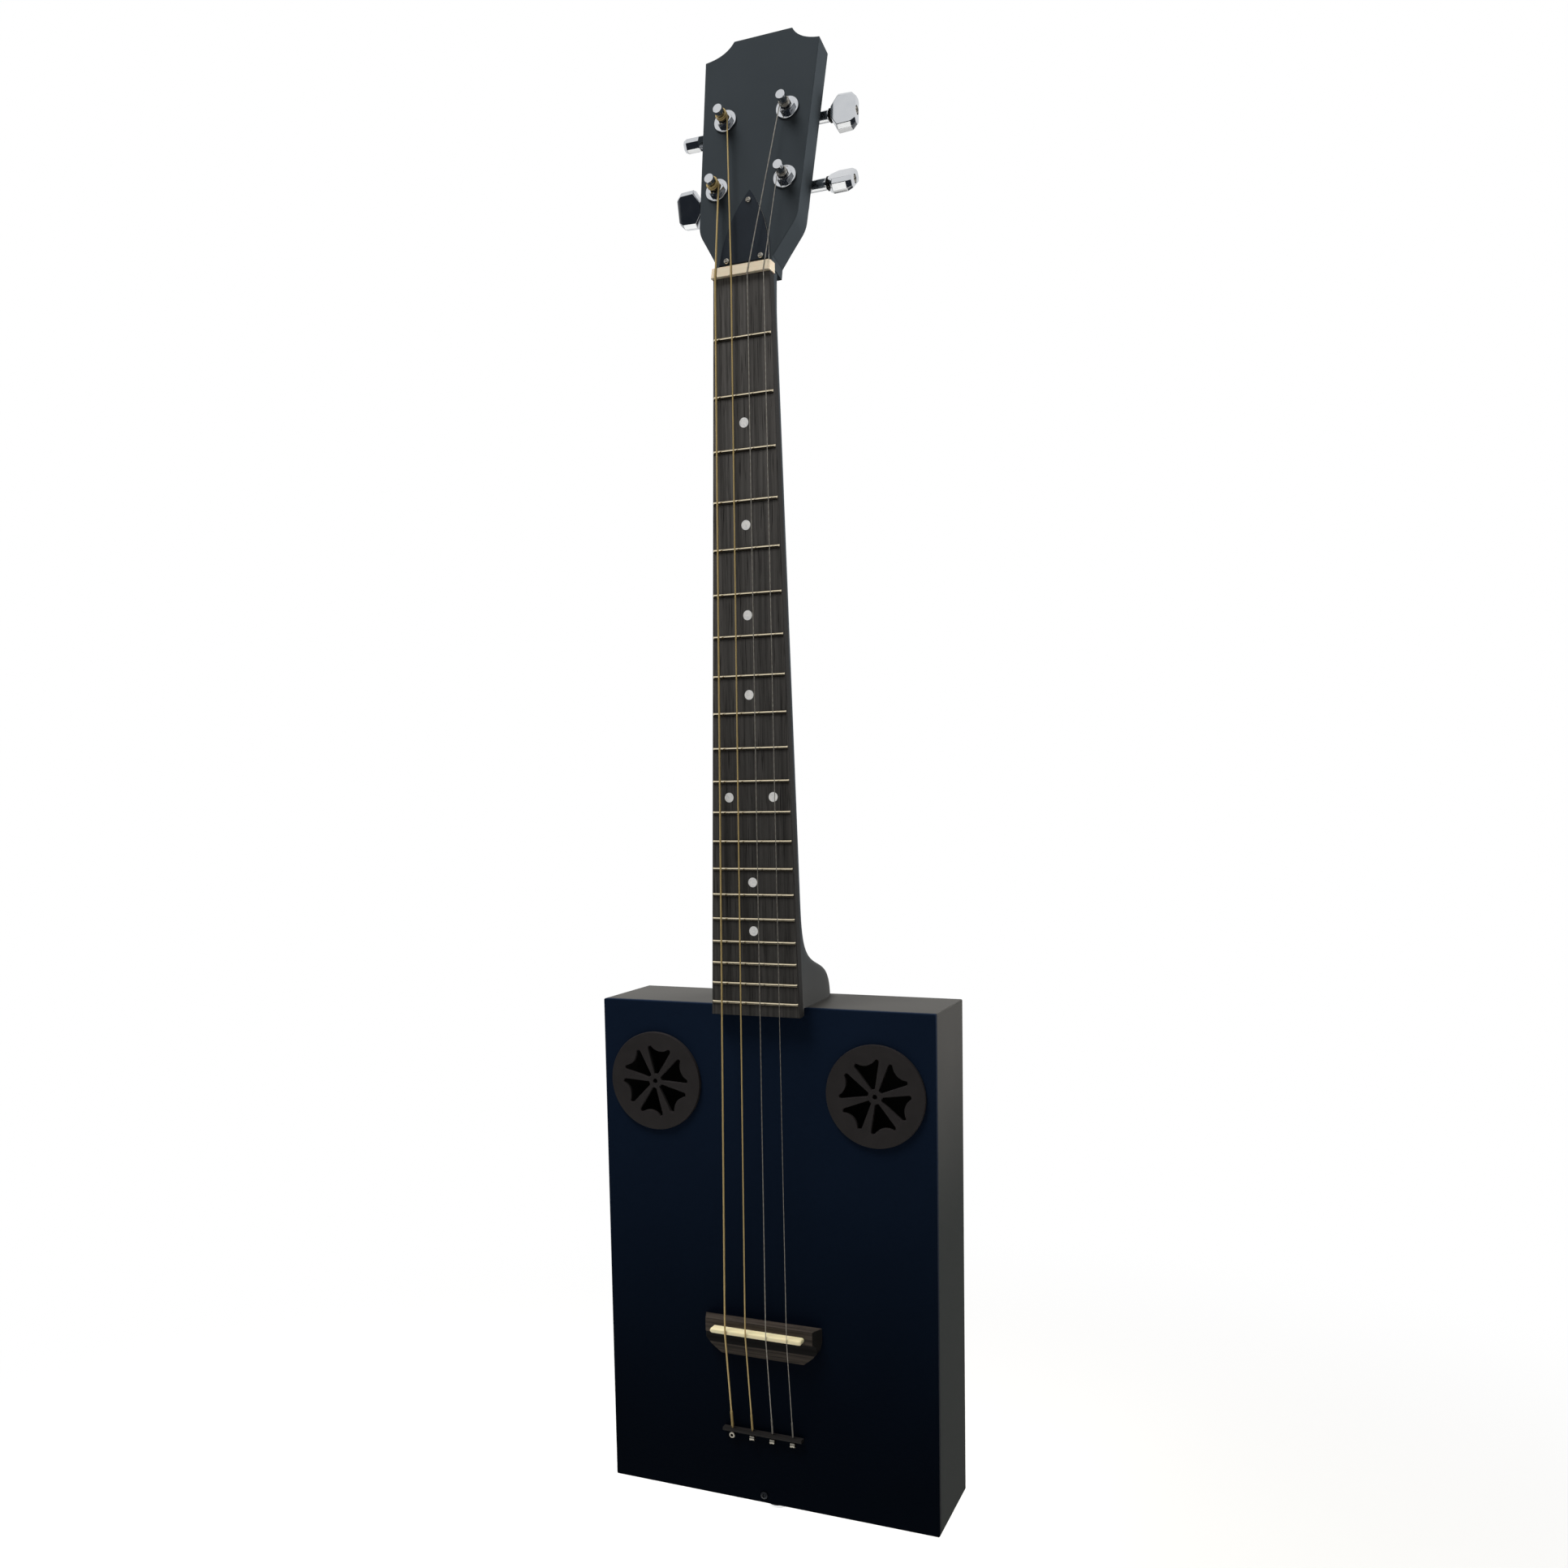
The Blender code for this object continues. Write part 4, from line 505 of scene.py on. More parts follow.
def nickel(name, colour, roughness, painted_shade_below=False):
    """Nickel plate or nickel silver: warm grey, with faint lines of wear, and painted shade on flanks below.
    """
    material, tree, shader, spot = new_finish(name)
    wear = add(tree, "TexNoise", {"Vector": spot, "Scale": 1 / WEAR, "Detail": 5.0})
    gloss = add(tree, "MapRange", {"Value": wear, "To Min": roughness - 0.06, "To Max": roughness + 0.08})
    tint = add(tree, "MixRGB", {"Fac": 0.2, "Color1": linear(colour), "Color2": wear},
               blend_type="SOFT_LIGHT")
    if painted_shade_below:
        # Painted shade: flanks that face down are coloured near black.
        facing = add(tree, "NewGeometry").outputs["Normal"]
        upward = add(tree, "SeparateXYZ", {"Vector": facing}).outputs["Z"]
        unshaded_share = add(tree, "MapRange", {"Value": upward, "From Min": SHADED_FACING, "From Max": LIT_FACING})
        tint = add(tree, "MixRGB", {"Fac": unshaded_share, "Color1": linear("#1f1c18"), "Color2": tint})
    feed(tree, shader, {"Base Color": tint, "Roughness": gloss, "Metallic": 1.0})
    return material


def moulded_plastic(name, colour, roughness, grit):
    """Moulded plastic: one colour right through, with the fine grit of its mould."""
    material, tree, shader, spot = new_finish(name)
    grain = add(tree, "TexNoise", {"Vector": spot, "Scale": 1 / grit, "Detail": 2.0})
    cloud = add(tree, "TexNoise", {"Vector": spot, "Scale": 1 / MOULD_CLOUD, "Detail": 3.0})
    tint = add(tree, "MixRGB", {"Fac": 0.18, "Color1": linear(colour), "Color2": cloud},
               blend_type="SOFT_LIGHT")
    gloss = add(tree, "MapRange", {"Value": cloud, "To Min": roughness - 0.05, "To Max": roughness + 0.05})
    bump = add(tree, "Bump", {"Height": grain, "Strength": 0.12, "Distance": 0.0002})
    feed(tree, shader, {"Base Color": tint, "Roughness": gloss, "Normal": bump, "Specular IOR Level": 0.06})
    return material


def cross_head(radius, rise, shank, length):
    """Screw with a domed cross-slotted head: its seat at y = 0, its head towards -Y."""
    angles = [math.radians(a) for a in (4, 20, 38, 56, 74, 90)]
    dome = [(radius * math.sin(a), -rise * (0.25 + 0.75 * math.cos(a))) for a in angles]
    screw = turned(dome + [(radius, 0.0), (shank, 0.0), (shank, length - shank), (shank / 3, length)], 24)
    long, short = radius * 0.60, radius * 0.15
    return cut(screw, *[block((-wide, -2 * rise, -tall), (wide, -rise * 0.42, tall))
                        for wide, tall in ((long, short), (short, long))])


def recipe(name, inputs, output):
    """A Geometry Nodes group with named inputs and one output: its tree and what it is given."""
    tree = bpy.data.node_groups.new(name, "GeometryNodeTree")
    for label, kind in inputs.items():
        tree.interface.new_socket(label, in_out="INPUT", socket_type="NodeSocket" + kind)
    tree.interface.new_socket(output, in_out="OUTPUT", socket_type="NodeSocketGeometry")
    return tree, add(tree, "NodeGroupInput").outputs


def follow(tree, values, points, lines=(), marks=None):
    """The mesh that a Geometry Nodes group makes from points, lines between them and marks on them."""
    data = bpy.data.meshes.new(tree.name)
    data.from_pydata(points, lines, [])
    for label, vectors in (marks or {}).items():
        attribute = data.attributes.new(label, "FLOAT_VECTOR", "POINT")
        for item, vector in zip(attribute.data, vectors):
            item.vector = vector
    carrier = bpy.data.objects.new(tree.name, data)
    scene.collection.objects.link(carrier)
    modifier = carrier.modifiers.new(tree.name, "NODES")
    modifier.node_group = tree
    for socket in tree.interface.items_tree:
        if socket.name in values:
            modifier[socket.identifier] = values[socket.name]
    mesh = bmesh.new()
    mesh.from_mesh(evaluated_mesh(carrier))
    bpy.data.objects.remove(carrier, do_unlink=True)
    return mesh


set_out, given = recipe("set_out", {"Places": "Geometry", "Part": "Object"}, "Parts")
part_info = add(set_out, "GeometryNodeObjectInfo", {"Object": given["Part"]})
turn, stretch = [add(set_out, "GeometryNodeInputNamedAttribute", {"Name": label}, data_type="FLOAT_VECTOR")
                 for label in ("turn", "stretch")]
as_turn = add(set_out, "FunctionNodeEulerToRotation", {"Euler": turn})
copies = add(set_out, "GeometryNodeInstanceOnPoints", {
    "Points": given["Places"], "Instance": part_info.outputs["Geometry"],
    "Rotation": as_turn, "Scale": stretch})
real = add(set_out, "GeometryNodeRealizeInstances", {"Geometry": copies})
add(set_out, "NodeGroupOutput", {"Parts": real})


def set_parts(name, part, places, material, nodes=()):
    """Set one small part out at several places, turned and stretched, and keep the result as one piece."""
    part_object = as_object("part", part)
    marks = {"turn": [place.to_euler() for place in places],
             "stretch": [place.to_scale() for place in places]}
    mesh = follow(set_out, {"Part": part_object}, [place.to_translation() for place in places], marks=marks)
    bpy.data.objects.remove(part_object, do_unlink=True)
    make_piece(name, mesh, material, nodes)


def numbered(name, numbers=(1, 2, 3, 4)):
    return [f"{name}_{number}" for number in numbers]


steel = nickel("nickel_plated_steel", "#b9b4aa", 0.24)
dress("truss_rod", steel)
cover_black = moulded_plastic("black_moulded_plastic", "#171b20", 0.36, 0.0009)
cover_white = moulded_plastic("white_plastic_core", "#c9c7c0", 0.40, 0.0009)
cover_foot = (0.0164, 0.0085)
cover_outline = mirrored([cover_foot] + curve(cover_foot, (0.015252, 0.036145), (0.0, 0.057), 20))
cover = eased(prism(cover_outline, COVER_TOP, COVER_MIDDLE), EDGE, 2, lambda p: p.y < COVER_TOP + 0.0001)
make_piece("truss_rod_cover_plate", cover, cover_black, ["truss_rod_cover"], place=HEAD)
make_piece("truss_rod_cover_core", prism(cover_outline, COVER_MIDDLE, 0.0), cover_white, place=HEAD)
set_parts("cover_screws", cross_head(*SMALL_SCREW), [HEAD @ shift((x, -0.0018, z)) for x, z in COVER_SCREWS],
          steel, numbered("cover_screw", (1, 2, 3)))


# Fretboard. A tapered slip of dark open-grained hardwood is glued on the neck. Twenty frets of drawn
# nickel silver are pressed into sawn slots, their ends filed back, and round pearl dots are let in.

BOARD_TOP = -0.0095
BOARD_LIT_HEIGHTS = (-0.37, -0.03)  # heights of the darkest and the lightest painted light
FRET_HALF, FRET_RISE, FRET_TANG, FRET_INSET = 0.0012, 0.0010, 0.0012, 0.0007
DOT_RADIUS, DOT_APART = 0.0030, 0.015
PEARL_CLOUD = [0.0022] * 3


def dark_hardwood(name, dark, light, grain_width, along="Z", hollow=None, lit_heights=None):
    """Dark open-grained hardwood: streaks, open pores, dark sides, painted shadow in a hollow, painted light
    by height.
    """
    material, tree, shader, spot = new_finish(name)
    fine, long = 1 / grain_width, 1 / (60 * grain_width)
    stretch = (fine, fine, long) if along == "Z" else (long, fine, fine)
    streak_spot = add(tree, "Mapping", {"Vector": spot, "Scale": stretch})
    streak = add(tree, "TexNoise", {"Vector": streak_spot, "Scale": 0.55, "Detail": 5.0, "Roughness": 0.62})
    share = add(tree, "MapRange", {"Value": streak, "From Min": 0.30, "From Max": 0.70})
    colour = add(tree, "MixRGB", {"Fac": share, "Color1": linear(dark), "Color2": linear(light)})
    pore_spot = add(tree, "Mapping", {"Vector": spot, "Scale": [value * 2.2 for value in stretch]})
    pore = add(tree, "TexNoise", {"Vector": pore_spot, "Scale": 1.3, "Detail": 2.0})
    closed = add(tree, "MapRange", {"Value": pore, "From Min": 0.34, "From Max": 0.42})
    colour = add(tree, "MixRGB", {"Fac": closed, "Color1": linear("#1a1918"), "Color2": colour})
    height = add(tree, "SeparateXYZ", {"Vector": spot}).outputs["Z"]
    # Painted shadow: heights within the hollow band are coloured near black.
    if hollow:
        in_hollow_shadow = add(tree, "Math", {0: height, 1: hollow[0], 2: hollow[1]}, operation="COMPARE")
        colour = add(tree, "MixRGB", {"Fac": in_hollow_shadow, "Color1": colour, "Color2": linear("#080707")})
    # Painted light: between two heights the colour is scaled from darker below to lighter above.
    if lit_heights:
        painted_lightness = add(tree, "MapRange", {"Value": height, "From Min": lit_heights[0], "From Max": lit_heights[1],
                                         "To Min": 0.74, "To Max": 1.45})
        colour = add(tree, "MixRGB", {"Fac": 1.0, "Color1": colour, "Color2": painted_lightness}, blend_type="MULTIPLY")
    # Faces turned sideways are coloured darker.
    facing = add(tree, "NewGeometry").outputs["Normal"]
    facing_x = add(tree, "SeparateXYZ", {"Vector": facing}).outputs["X"]
    sideways = add(tree, "Math", {0: facing_x}, operation="ABSOLUTE")
    side_darkening = add(tree, "MapRange", {"Value": sideways, "From Min": 0.5, "From Max": 0.9})
    colour = add(tree, "MixRGB", {"Fac": side_darkening, "Color1": colour, "Color2": linear("#1b1a19")})
    gloss = add(tree, "MapRange", {"Value": streak, "To Min": 0.62, "To Max": 0.46})
    bump = add(tree, "Bump", {"Height": closed, "Strength": 0.18, "Distance": 0.0002})
    feed(tree, shader, {"Base Color": colour, "Roughness": gloss, "Normal": bump, "Specular IOR Level": 0.05})
    return material


board_wood = dark_hardwood("fretboard_hardwood", "#292827", "#454341", 0.0014, lit_heights=BOARD_LIT_HEIGHTS)
board_outline = mirrored([(board_half(z), z) for z in (0.0, BOARD_END)])
board = eased(prism(board_outline, BOARD_TOP, NECK_FACE), EDGE, 2, lambda p: p.y < BOARD_TOP + 1e-6)
make_piece("fretboard_slip", board, board_wood, ["fretboard"], place=NUT)

# The frets carry painted shade on their lower flanks.
fret_silver = nickel("nickel_silver_wire", "#e8dabc", 0.14, True)
crown = [(FRET_HALF * x, -FRET_RISE * y) for x, y in arc((0, 0), 1.0, 0, 180, 12)]
crown += [(-FRET_HALF, FRET_TANG), (FRET_HALF, FRET_TANG)]
wire = loft([[(x, y * rise, z) for z, y in crown]
             for x, rise in ((-1.0, 0.25), (-0.965, 1.0), (0.965, 1.0), (1.0, 0.25))])
fret_places = []
for z in [fret_height(number) for number in range(1, FRETS + 1)]:
    reach = board_half(z) - FRET_INSET
    fret_places.append(NUT @ shift((0, BOARD_TOP, z)) @ Matrix.Diagonal((reach, 1, 1, 1)))
set_parts("frets", wire, fret_places, fret_silver)

dot_places = []
for number in (3, 5, 7, 9, 12, 15, 17):
    for x in ((-DOT_APART, DOT_APART) if number == 12 else (0.0,)):
        spot = (x, BOARD_TOP, (fret_height(number - 1) + fret_height(number)) / 2)
        dot_places.append(NUT @ shift(spot))
dot = turned([(DOT_RADIUS - 0.0001, -0.00006), (DOT_RADIUS, 0.0), (DOT_RADIUS, 0.0012)])
pearl = streaked("pearl", PEARL_CLOUD, "#a9adb2", "#d6d2cb", (0.22, 0.34), detail=3.0, swirl=1.2)
set_parts("position_dots", dot, dot_places, pearl)


# Nut. A slip of bleached bone, glued across the end of the board: its top falls towards the headstock
# and its corners are rounded, with one filed slot to each string.

GAUGES = (0.00115, 0.00090, 0.00060, 0.00045)
NUT_TOP, NUT_HALF, NUT_LENGTH, NUT_CORNER, NUT_FALL = BOARD_TOP - 0.0028, 0.0195, 0.006, 0.0018, 0.27
NUT_SPACING = 0.0106
POST_WAIST, BUSHING_TOP = 0.0025, 0.0038
TURNS_ON_POST = 2.25
BONE_STREAK, BONE_GLOSS = (0.012, 0.0006, 0.0006), (0.42, 0.30)
BONE_GLOW = {"Subsurface Weight": 0.08, "Subsurface Scale": 0.002}


def string_x(number, spacing, centre=0.0):
    return centre + (number - 1.5) * spacing


def string_wraps(number, points_per_turn):
    """A string's way from the nut to its post and two and a quarter turns round it."""
    x, z = POSTS[number]
    gauge = GAUGES[number]
    inner = -1 if x > 0 else 1
    start = HEAD_FROM_NUT.inverted() @ Vector((string_x(number, NUT_SPACING), NUT_TOP, 0.0))
    radius = POST_WAIST + SEAM + gauge / 2
    run = Vector((x - start.x, z - start.z))
    heading = math.atan2(run.y, run.x) - inner * math.asin(radius / run.length)
    first = heading - inner * math.pi / 2
    points = []
    for i in range(round(TURNS_ON_POST * points_per_turn) + 1):
        turn = i / points_per_turn
        angle = first + inner * 2 * math.pi * turn
        away = BUSHING_TOP + gauge / 2 + 3 * SEAM + (gauge + 0.0003) * turn
        beside_post = Vector((x + radius * math.cos(angle), -away, z + radius * math.sin(angle)))
        points.append(HEAD_FROM_NUT @ beside_post)
    points.append(points[-1] + (points[-1] - points[-2]).normalized() * gauge)
    return points


nut_rings = []
for z in (0.0, NUT_LENGTH):
    fall = NUT_FALL * z
    corner_x, corner_y = NUT_HALF - NUT_CORNER, -NUT_TOP - NUT_CORNER
    outline = [(-NUT_HALF, NECK_FACE), (NUT_HALF, NECK_FACE)]
    outline += [(x, fall - y) for x, y in arc((corner_x, corner_y), NUT_CORNER, 0, 90, 8)]
    for number in (3, 2, 1, 0):
        nut_x = string_x(number, NUT_SPACING)
        post_spot = string_wraps(number, 24)[0]
        x = nut_x + z * (post_spot.x - nut_x) / post_spot.z
        width = GAUGES[number] / 2 + SEAM
        outline += [(x + width, NUT_TOP + fall), (x + width, NUT_TOP + fall + width)]
        outline += [(x - width, NUT_TOP + fall + width), (x - width, NUT_TOP + fall)]
    outline += [(x, fall - y) for x, y in arc((-corner_x, corner_y), NUT_CORNER, 90, 180, 8)]
    nut_rings.append([(x, y, z) for x, y in outline])
bleached_bone = streaked("bleached_bone", BONE_STREAK, "#9b8f7a", "#aba08c", BONE_GLOSS, BONE_GLOW)
make_piece("nut_bone", loft(nut_rings), bleached_bone, ["nut"], place=NUT)


# Tuning machines. Each has a hex bushing and washer in front, a die-cast housing on a stamped base
# behind, a post with its wheel, a worm on the button's shaft and a cast button. All are chrome plated.

CHROME_HAZE = [0.006] * 3
HEX_CORNER, SLEEVE, WASHER, WASHER_TOP = 0.0056, 0.0049, 0.0074, 0.0013
HOUSING_HALF, HOUSING_HIGH = 0.0066, 0.01125
HOUSING_FRONT, HOUSING_BACK = HEAD_THICKNESS + 0.0018, 0.02595
TAB_RADIUS = 0.003
TAB_DROP = HOUSING_HALF + TAB_RADIUS
WORM_Y, WORM_Z = HEAD_THICKNESS + 0.0065, 0.0068
POST_RADIUS = 0.0030
TEETH, WHEEL_ROOT, WHEEL_PITCH, WHEEL_TIP, WORM_PITCH = 14, 0.00365, 0.0045, 0.0050, 0.0023
BUTTON_START, BUTTON_END, BUTTON_HALF, BUTTON_THICK = 0.0210, 0.0370, 0.0112, 0.0043
BUTTON_RECESS = 0.0012
BUTTON_TURNS = (25, -50, 8, -39)  # as they stand in the photo
ALONG_X = spin(-90, "Z")

plate_chrome = streaked("chrome_plate", CHROME_HAZE, "#c9ccd0", "#dcdddf", (0.05, 0.16), {"Metallic": 1.0})
post_places = [HEAD @ shift((x, 0, z)) for x, z in POSTS]

hexagon = arc((0, 0), HEX_CORNER, 0, 300, 5)
chamfer = turned([(0.0044, -BUSHING_TOP - 0.00001), (0.0060, -BUSHING_TOP + 0.0009), (0.0060, -0.001)], 48)
hex_head = combine(prism(hexagon, -BUSHING_TOP, -WASHER_TOP), chamfer, "INTERSECT")
bushing = combine(hex_head, rod(SLEEVE, -0.0014, 0.008), "UNION")
bushing = eased(cut(bushing, rod(0.0034, -0.01, 0.02)), 0.00025, 2)
set_parts("tuner_bushings", bushing, post_places, plate_chrome, numbered("tuner_bushing"))

washer = turned([(0.0070, -WASHER_TOP), (0.00725, -0.00118), (WASHER, -0.0009), (WASHER, 0.0)], 64)
washer = cut(washer, rod(SLEEVE + 0.0001, -0.01, 0.01))
set_parts("tuner_washers", washer, post_places, plate_chrome, numbered("tuner_washer"))

base_outline = [(-TAB_RADIUS, -HOUSING_HALF)] + arc((0, -TAB_DROP), TAB_RADIUS, 180, 360, 16)
base_outline += [(x, -HOUSING_HALF) for x in (TAB_RADIUS, HOUSING_HALF)]
base_outline += [(HOUSING_HALF, HOUSING_HIGH), (-HOUSING_HALF, HOUSING_HIGH), (-HOUSING_HALF, -HOUSING_HALF)]
base = eased(prism(base_outline, HEAD_THICKNESS, HOUSING_FRONT), 0.0004, 2)
set_parts("tuner_bases", base, post_places, plate_chrome, numbered("tuner_base"))


def tuner_housing(side):
    """Cup with soft corners and a turned barrel for the button's shaft."""
    outline = rounded_box(-HOUSING_HALF, HOUSING_HALF, -HOUSING_HALF, HOUSING_HIGH, 0.0022)
    shell = prism(outline, HOUSING_FRONT, HOUSING_BACK)
    eased(shell, 0.0016, 5, lambda p: p.y > HOUSING_BACK - 1e-5)
    shaft = shift((0, WORM_Y, WORM_Z)) @ ALONG_X
    barrel = turned([(0.0035, 0.004), (0.0035, 0.0184), (0.0033, 0.0188), (0.0029, 0.0190)])
    shell = combine(shell, moved(barrel, shaft), "UNION")
    room_inside = block((-0.0054, 0.0, -0.0054), (0.0054, 0.02475, 0.01005))
    shell = cut(shell, room_inside, moved(rod(0.0021, 0.0, 0.03, 32), shaft))
    return moved(shell, Matrix.Diagonal((side, 1, 1, 1)))


for name, side, numbers in (("tuner_housings_left", -1, (1, 2)), ("tuner_housings_right", 1, (3, 4))):
    set_parts(name, tuner_housing(side), [post_places[i - 1] for i in numbers], plate_chrome,
              numbered("tuner_housing", numbers))

set_parts("tuner_base_screws", cross_head(*SMALL_SCREW),
          [place @ shift((0, HOUSING_FRONT, -TAB_DROP)) @ spin(180, "X") for place in post_places], steel)


def string_post(side):
    """Capped and waisted post with its fourteen-tooth wheel, whose teeth lean by the worm's lead."""
    post = turned([(0.0026, -0.0125), (0.0029, -0.01242), (POST_RADIUS, -0.0122), (POST_RADIUS, -0.0099),
                   (0.0029, -0.0098), (POST_WAIST, -0.0095), (POST_WAIST, -0.0047), (POST_RADIUS, -0.0044),
                   (POST_RADIUS, 0.0165), (POST_WAIST, 0.0168), (POST_WAIST, 0.0240)])
    post = cut(post, moved(rod(0.00065, -0.01, 0.01, 20), shift((0, -0.0085, 0)) @ spin(90, "Z")))
    pitch = 2 * math.pi * WHEEL_PITCH / TEETH
    lean = pitch / (2 * math.pi * WORM_PITCH * WHEEL_PITCH)
    rings = []
    for deep in (-0.0022, 0.0, 0.0022):
        points = []
        for tooth in range(TEETH):
            middle = math.pi / 2 + (tooth + 0.5) * 2 * math.pi / TEETH - lean * deep
            for radius, sign in ((WHEEL_ROOT, -1), (WHEEL_TIP, -1), (WHEEL_TIP, 1), (WHEEL_ROOT, 1)):
                angle = middle + sign * (0.00041 - (radius - WHEEL_PITCH) * 0.40) / radius
                points.append((side * radius * math.cos(angle), WORM_Y + deep, radius * math.sin(angle)))
        rings.append(points)
    return combine(post, loft(rings), "UNION")


def button_slice(x, wide, thick=1.0):
    """Eight-sided slice of a button: broad faces, sloping shoulders and narrow edges."""
    wide, thick = BUTTON_HALF * wide, BUTTON_THICK * thick
    half = mirrored([(thick, wide * 0.78), (thick * 0.50, wide)])
    return [(x, y, z) for y, z in half + [(-y, -z) for y, z in half]]


nylon = moulded_plastic("black_nylon", "#141516", 0.45, 0.0006)
for i, (x, z) in enumerate(POSTS):
    number = i + 1
    side = 1 if x > 0 else -1
    make_piece(f"string_post_{number}_turned", string_post(side), plate_chrome, [f"string_post_{number}"],
               f"post_{number}", post_places[i])
    dress(f"worm_shaft_{number}", steel)
    axis = HEAD @ shift((x, WORM_Y, z + WORM_Z)) @ spin(BUTTON_TURNS[i], "X")
    axis = axis @ Matrix.Diagonal((side, 1, 1, 1))
    button = loft([button_slice(BUTTON_START, 0.36), button_slice(BUTTON_START + 0.00416, 1.0),
                   button_slice(BUTTON_START + 0.0130, 0.96), button_slice(BUTTON_END, 0.70, 0.80)])
    recess = moved(rod(0.0027, BUTTON_END - BUTTON_RECESS, BUTTON_END + 0.01, 32), ALONG_X)
    make_piece(f"tuner_button_{number}_cast", cut(eased(button, FINE_EDGE, 2), recess), plate_chrome,
               [f"tuner_button_{number}"], f"button_{number}", axis)
    screw_seat = shift((BUTTON_END - BUTTON_RECESS, 0, 0)) @ spin(90, "Z")
    screw = moved(cross_head(0.0024, 0.0010, 0.0012, 0.006), screw_seat)
    make_piece(f"tuner_button_screw_{number}", screw, steel, (), f"button_{number}", axis)
    collar = turned([(0.0036, 0.01915), (0.00415, 0.01945), (0.00415, 0.02055), (0.0036, 0.02085)])
    make_piece(f"tuner_collar_{number}", moved(collar, ALONG_X), nylon, (), f"button_{number}", axis)


# Sound grilles. Two moulded discs with six forked slots each are pressed into round holes of the
# soundboard by a short spigot. They are dull brown-black, with their slot edges left sharp.

SLOT_ROOT, SLOT_REACH, SLOT_WIDTH = 0.0046, 0.0226, 0.0226 * 0.36
GRILLE_SEAT, SPIGOT, SPIGOT_BORE, SPIGOT_END = 0.0020, 0.0262, 0.0247, 0.0048


def grille_slot(grow):
    """Outline of one slot from the hub outwards, set back all round by an amount."""
    root, reach, width = SLOT_ROOT, SLOT_REACH, SLOT_WIDTH
    half = [(root * 0.16, root), (root * 0.28, root * 1.05), (width, reach * 0.90)]
    half += curve(half[-1], (width * 1.06, reach * 0.99), (width * 0.80, reach), 8)
    half += curve(half[-1], (width * 0.46, reach * 0.893), (0.0, reach * 0.885), 10)
    outline = mirrored(half)
    grown = []
    for before, point, after in zip(outline[-1:] + outline[:-1], outline, outline[1:] + outline[:1]):
        along = (Vector(after) - Vector(before)).normalized()
        grown.append((point[0] + along.y * grow, point[1] - along.x * grow))
    return grown


grille_plastic = moulded_plastic("brown_black_moulding", "#232121", 0.52, 0.0007)
for node, turn in (("grille_left", -9.0), ("grille_right", 14.5)):
    low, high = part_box(node)
    middle = (low + high) / 2
    radius = (high.x - low.x) / 2
    disc = turned([(radius - 0.0006, 0.0), (radius - 0.0002, 0.00018), (radius, 0.0006),
                   (radius, GRILLE_SEAT + SEAM)], 96)
    for count in range(6):
        slot = loft([[(x, y, z) for x, z in grille_slot(grow)]
                     for y, grow in ((-0.001, 0.00125), (0.00025, 0.0), (GRILLE_SEAT + 0.01, 0.0))])
        disc = cut(disc, moved(slot, spin(-turn - 60 * count, "Y")))
    disc = cut(disc, turned([(0.0020, -0.01), (0.0016, 0.0002), (0.0016, 0.01)], 24))
    spigot = cut(rod(SPIGOT, 0.001, SPIGOT_END, 72), rod(SPIGOT_BORE, -0.01, 0.02, 72))
    make_piece(node + "_moulding", combine(disc, spigot, "UNION"), grille_plastic, [node],
               place=shift((middle.x, low.y, middle.z)))


# Bridge, saddle and tail bar. The bridge is a strip of dark hardwood with a hollow worked below the
# saddle and a sloping toe. A bone saddle stands in its slot, and a thin bar further down stops the strings.

SADDLE_Z = -(SCALE + 0.0107)
SADDLE_TOP, SADDLE_FOOT, SADDLE_HALF, SADDLE_ROUND = -0.0142, -0.0036, 0.0304, 0.0016
BRIDGE_HALF, BRIDGE_TALL, BRIDGE_LONG, BRIDGE_BLOCK = 0.041, -0.0085, -0.0248, -0.0090
BRIDGE_AHEAD = 0.0058
bridge_low, bridge_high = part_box("bridge")
BRIDGE_PLACE = NUT @ shift(((bridge_low.x + bridge_high.x) / 2, 0, SADDLE_Z + BRIDGE_AHEAD))
# Painted shadow: the band of heights below the saddle that the bridge's finish colours near black.
BRIDGE_HOLLOW_SHADOW = (BRIDGE_PLACE.translation.z - 0.0132, 0.0042)  # middle and half height


def sliced(mesh, point, normal):
    """Cut off what lies on the normal's side of a plane, and close the cut."""
    result = bmesh.ops.bisect_plane(mesh, geom=mesh.verts[:] + mesh.edges[:] + mesh.faces[:], plane_co=point,
                                    plane_no=normal, clear_outer=True)
    rim = [item for item in result["geom_cut"] if isinstance(item, bmesh.types.BMEdge)]
    bmesh.ops.holes_fill(mesh, edges=rim, sides=0)
    return mesh


bridge_wood = dark_hardwood("bridge_hardwood", "#1f1c19", "#453e38", 0.0010, "X", BRIDGE_HOLLOW_SHADOW)
section = [(0.0, 0.0), (0.0, BRIDGE_TALL), (BRIDGE_BLOCK, BRIDGE_TALL)]
section += curve(section[-1], (BRIDGE_BLOCK, -0.0045), (-0.0150, -0.0045), 12)
section += [(BRIDGE_LONG, -0.0028), (BRIDGE_LONG, 0.0)]
strip = loft([[(x, y, z) for z, y in section] for x in (-BRIDGE_HALF, BRIDGE_HALF)])
corner_start = (BRIDGE_HALF, BRIDGE_BLOCK)
corner = [corner_start] + curve(corner_start, (BRIDGE_HALF, BRIDGE_LONG * 0.66), (0.029, BRIDGE_LONG), 3)
for side in (-1, 1):
    sliced(strip, (side * BRIDGE_HALF, 0, 0), (side * 0.0085, -0.0035, 0))
    for (x0, z0), (x1, z1) in zip(corner, corner[1:]):
        sliced(strip, (side * x0, 0, z0), (side * (z0 - z1), 0, x1 - x0))
make_piece("bridge_strip", eased(strip, FINE_EDGE, 2), bridge_wood, ["bridge"], place=BRIDGE_PLACE)

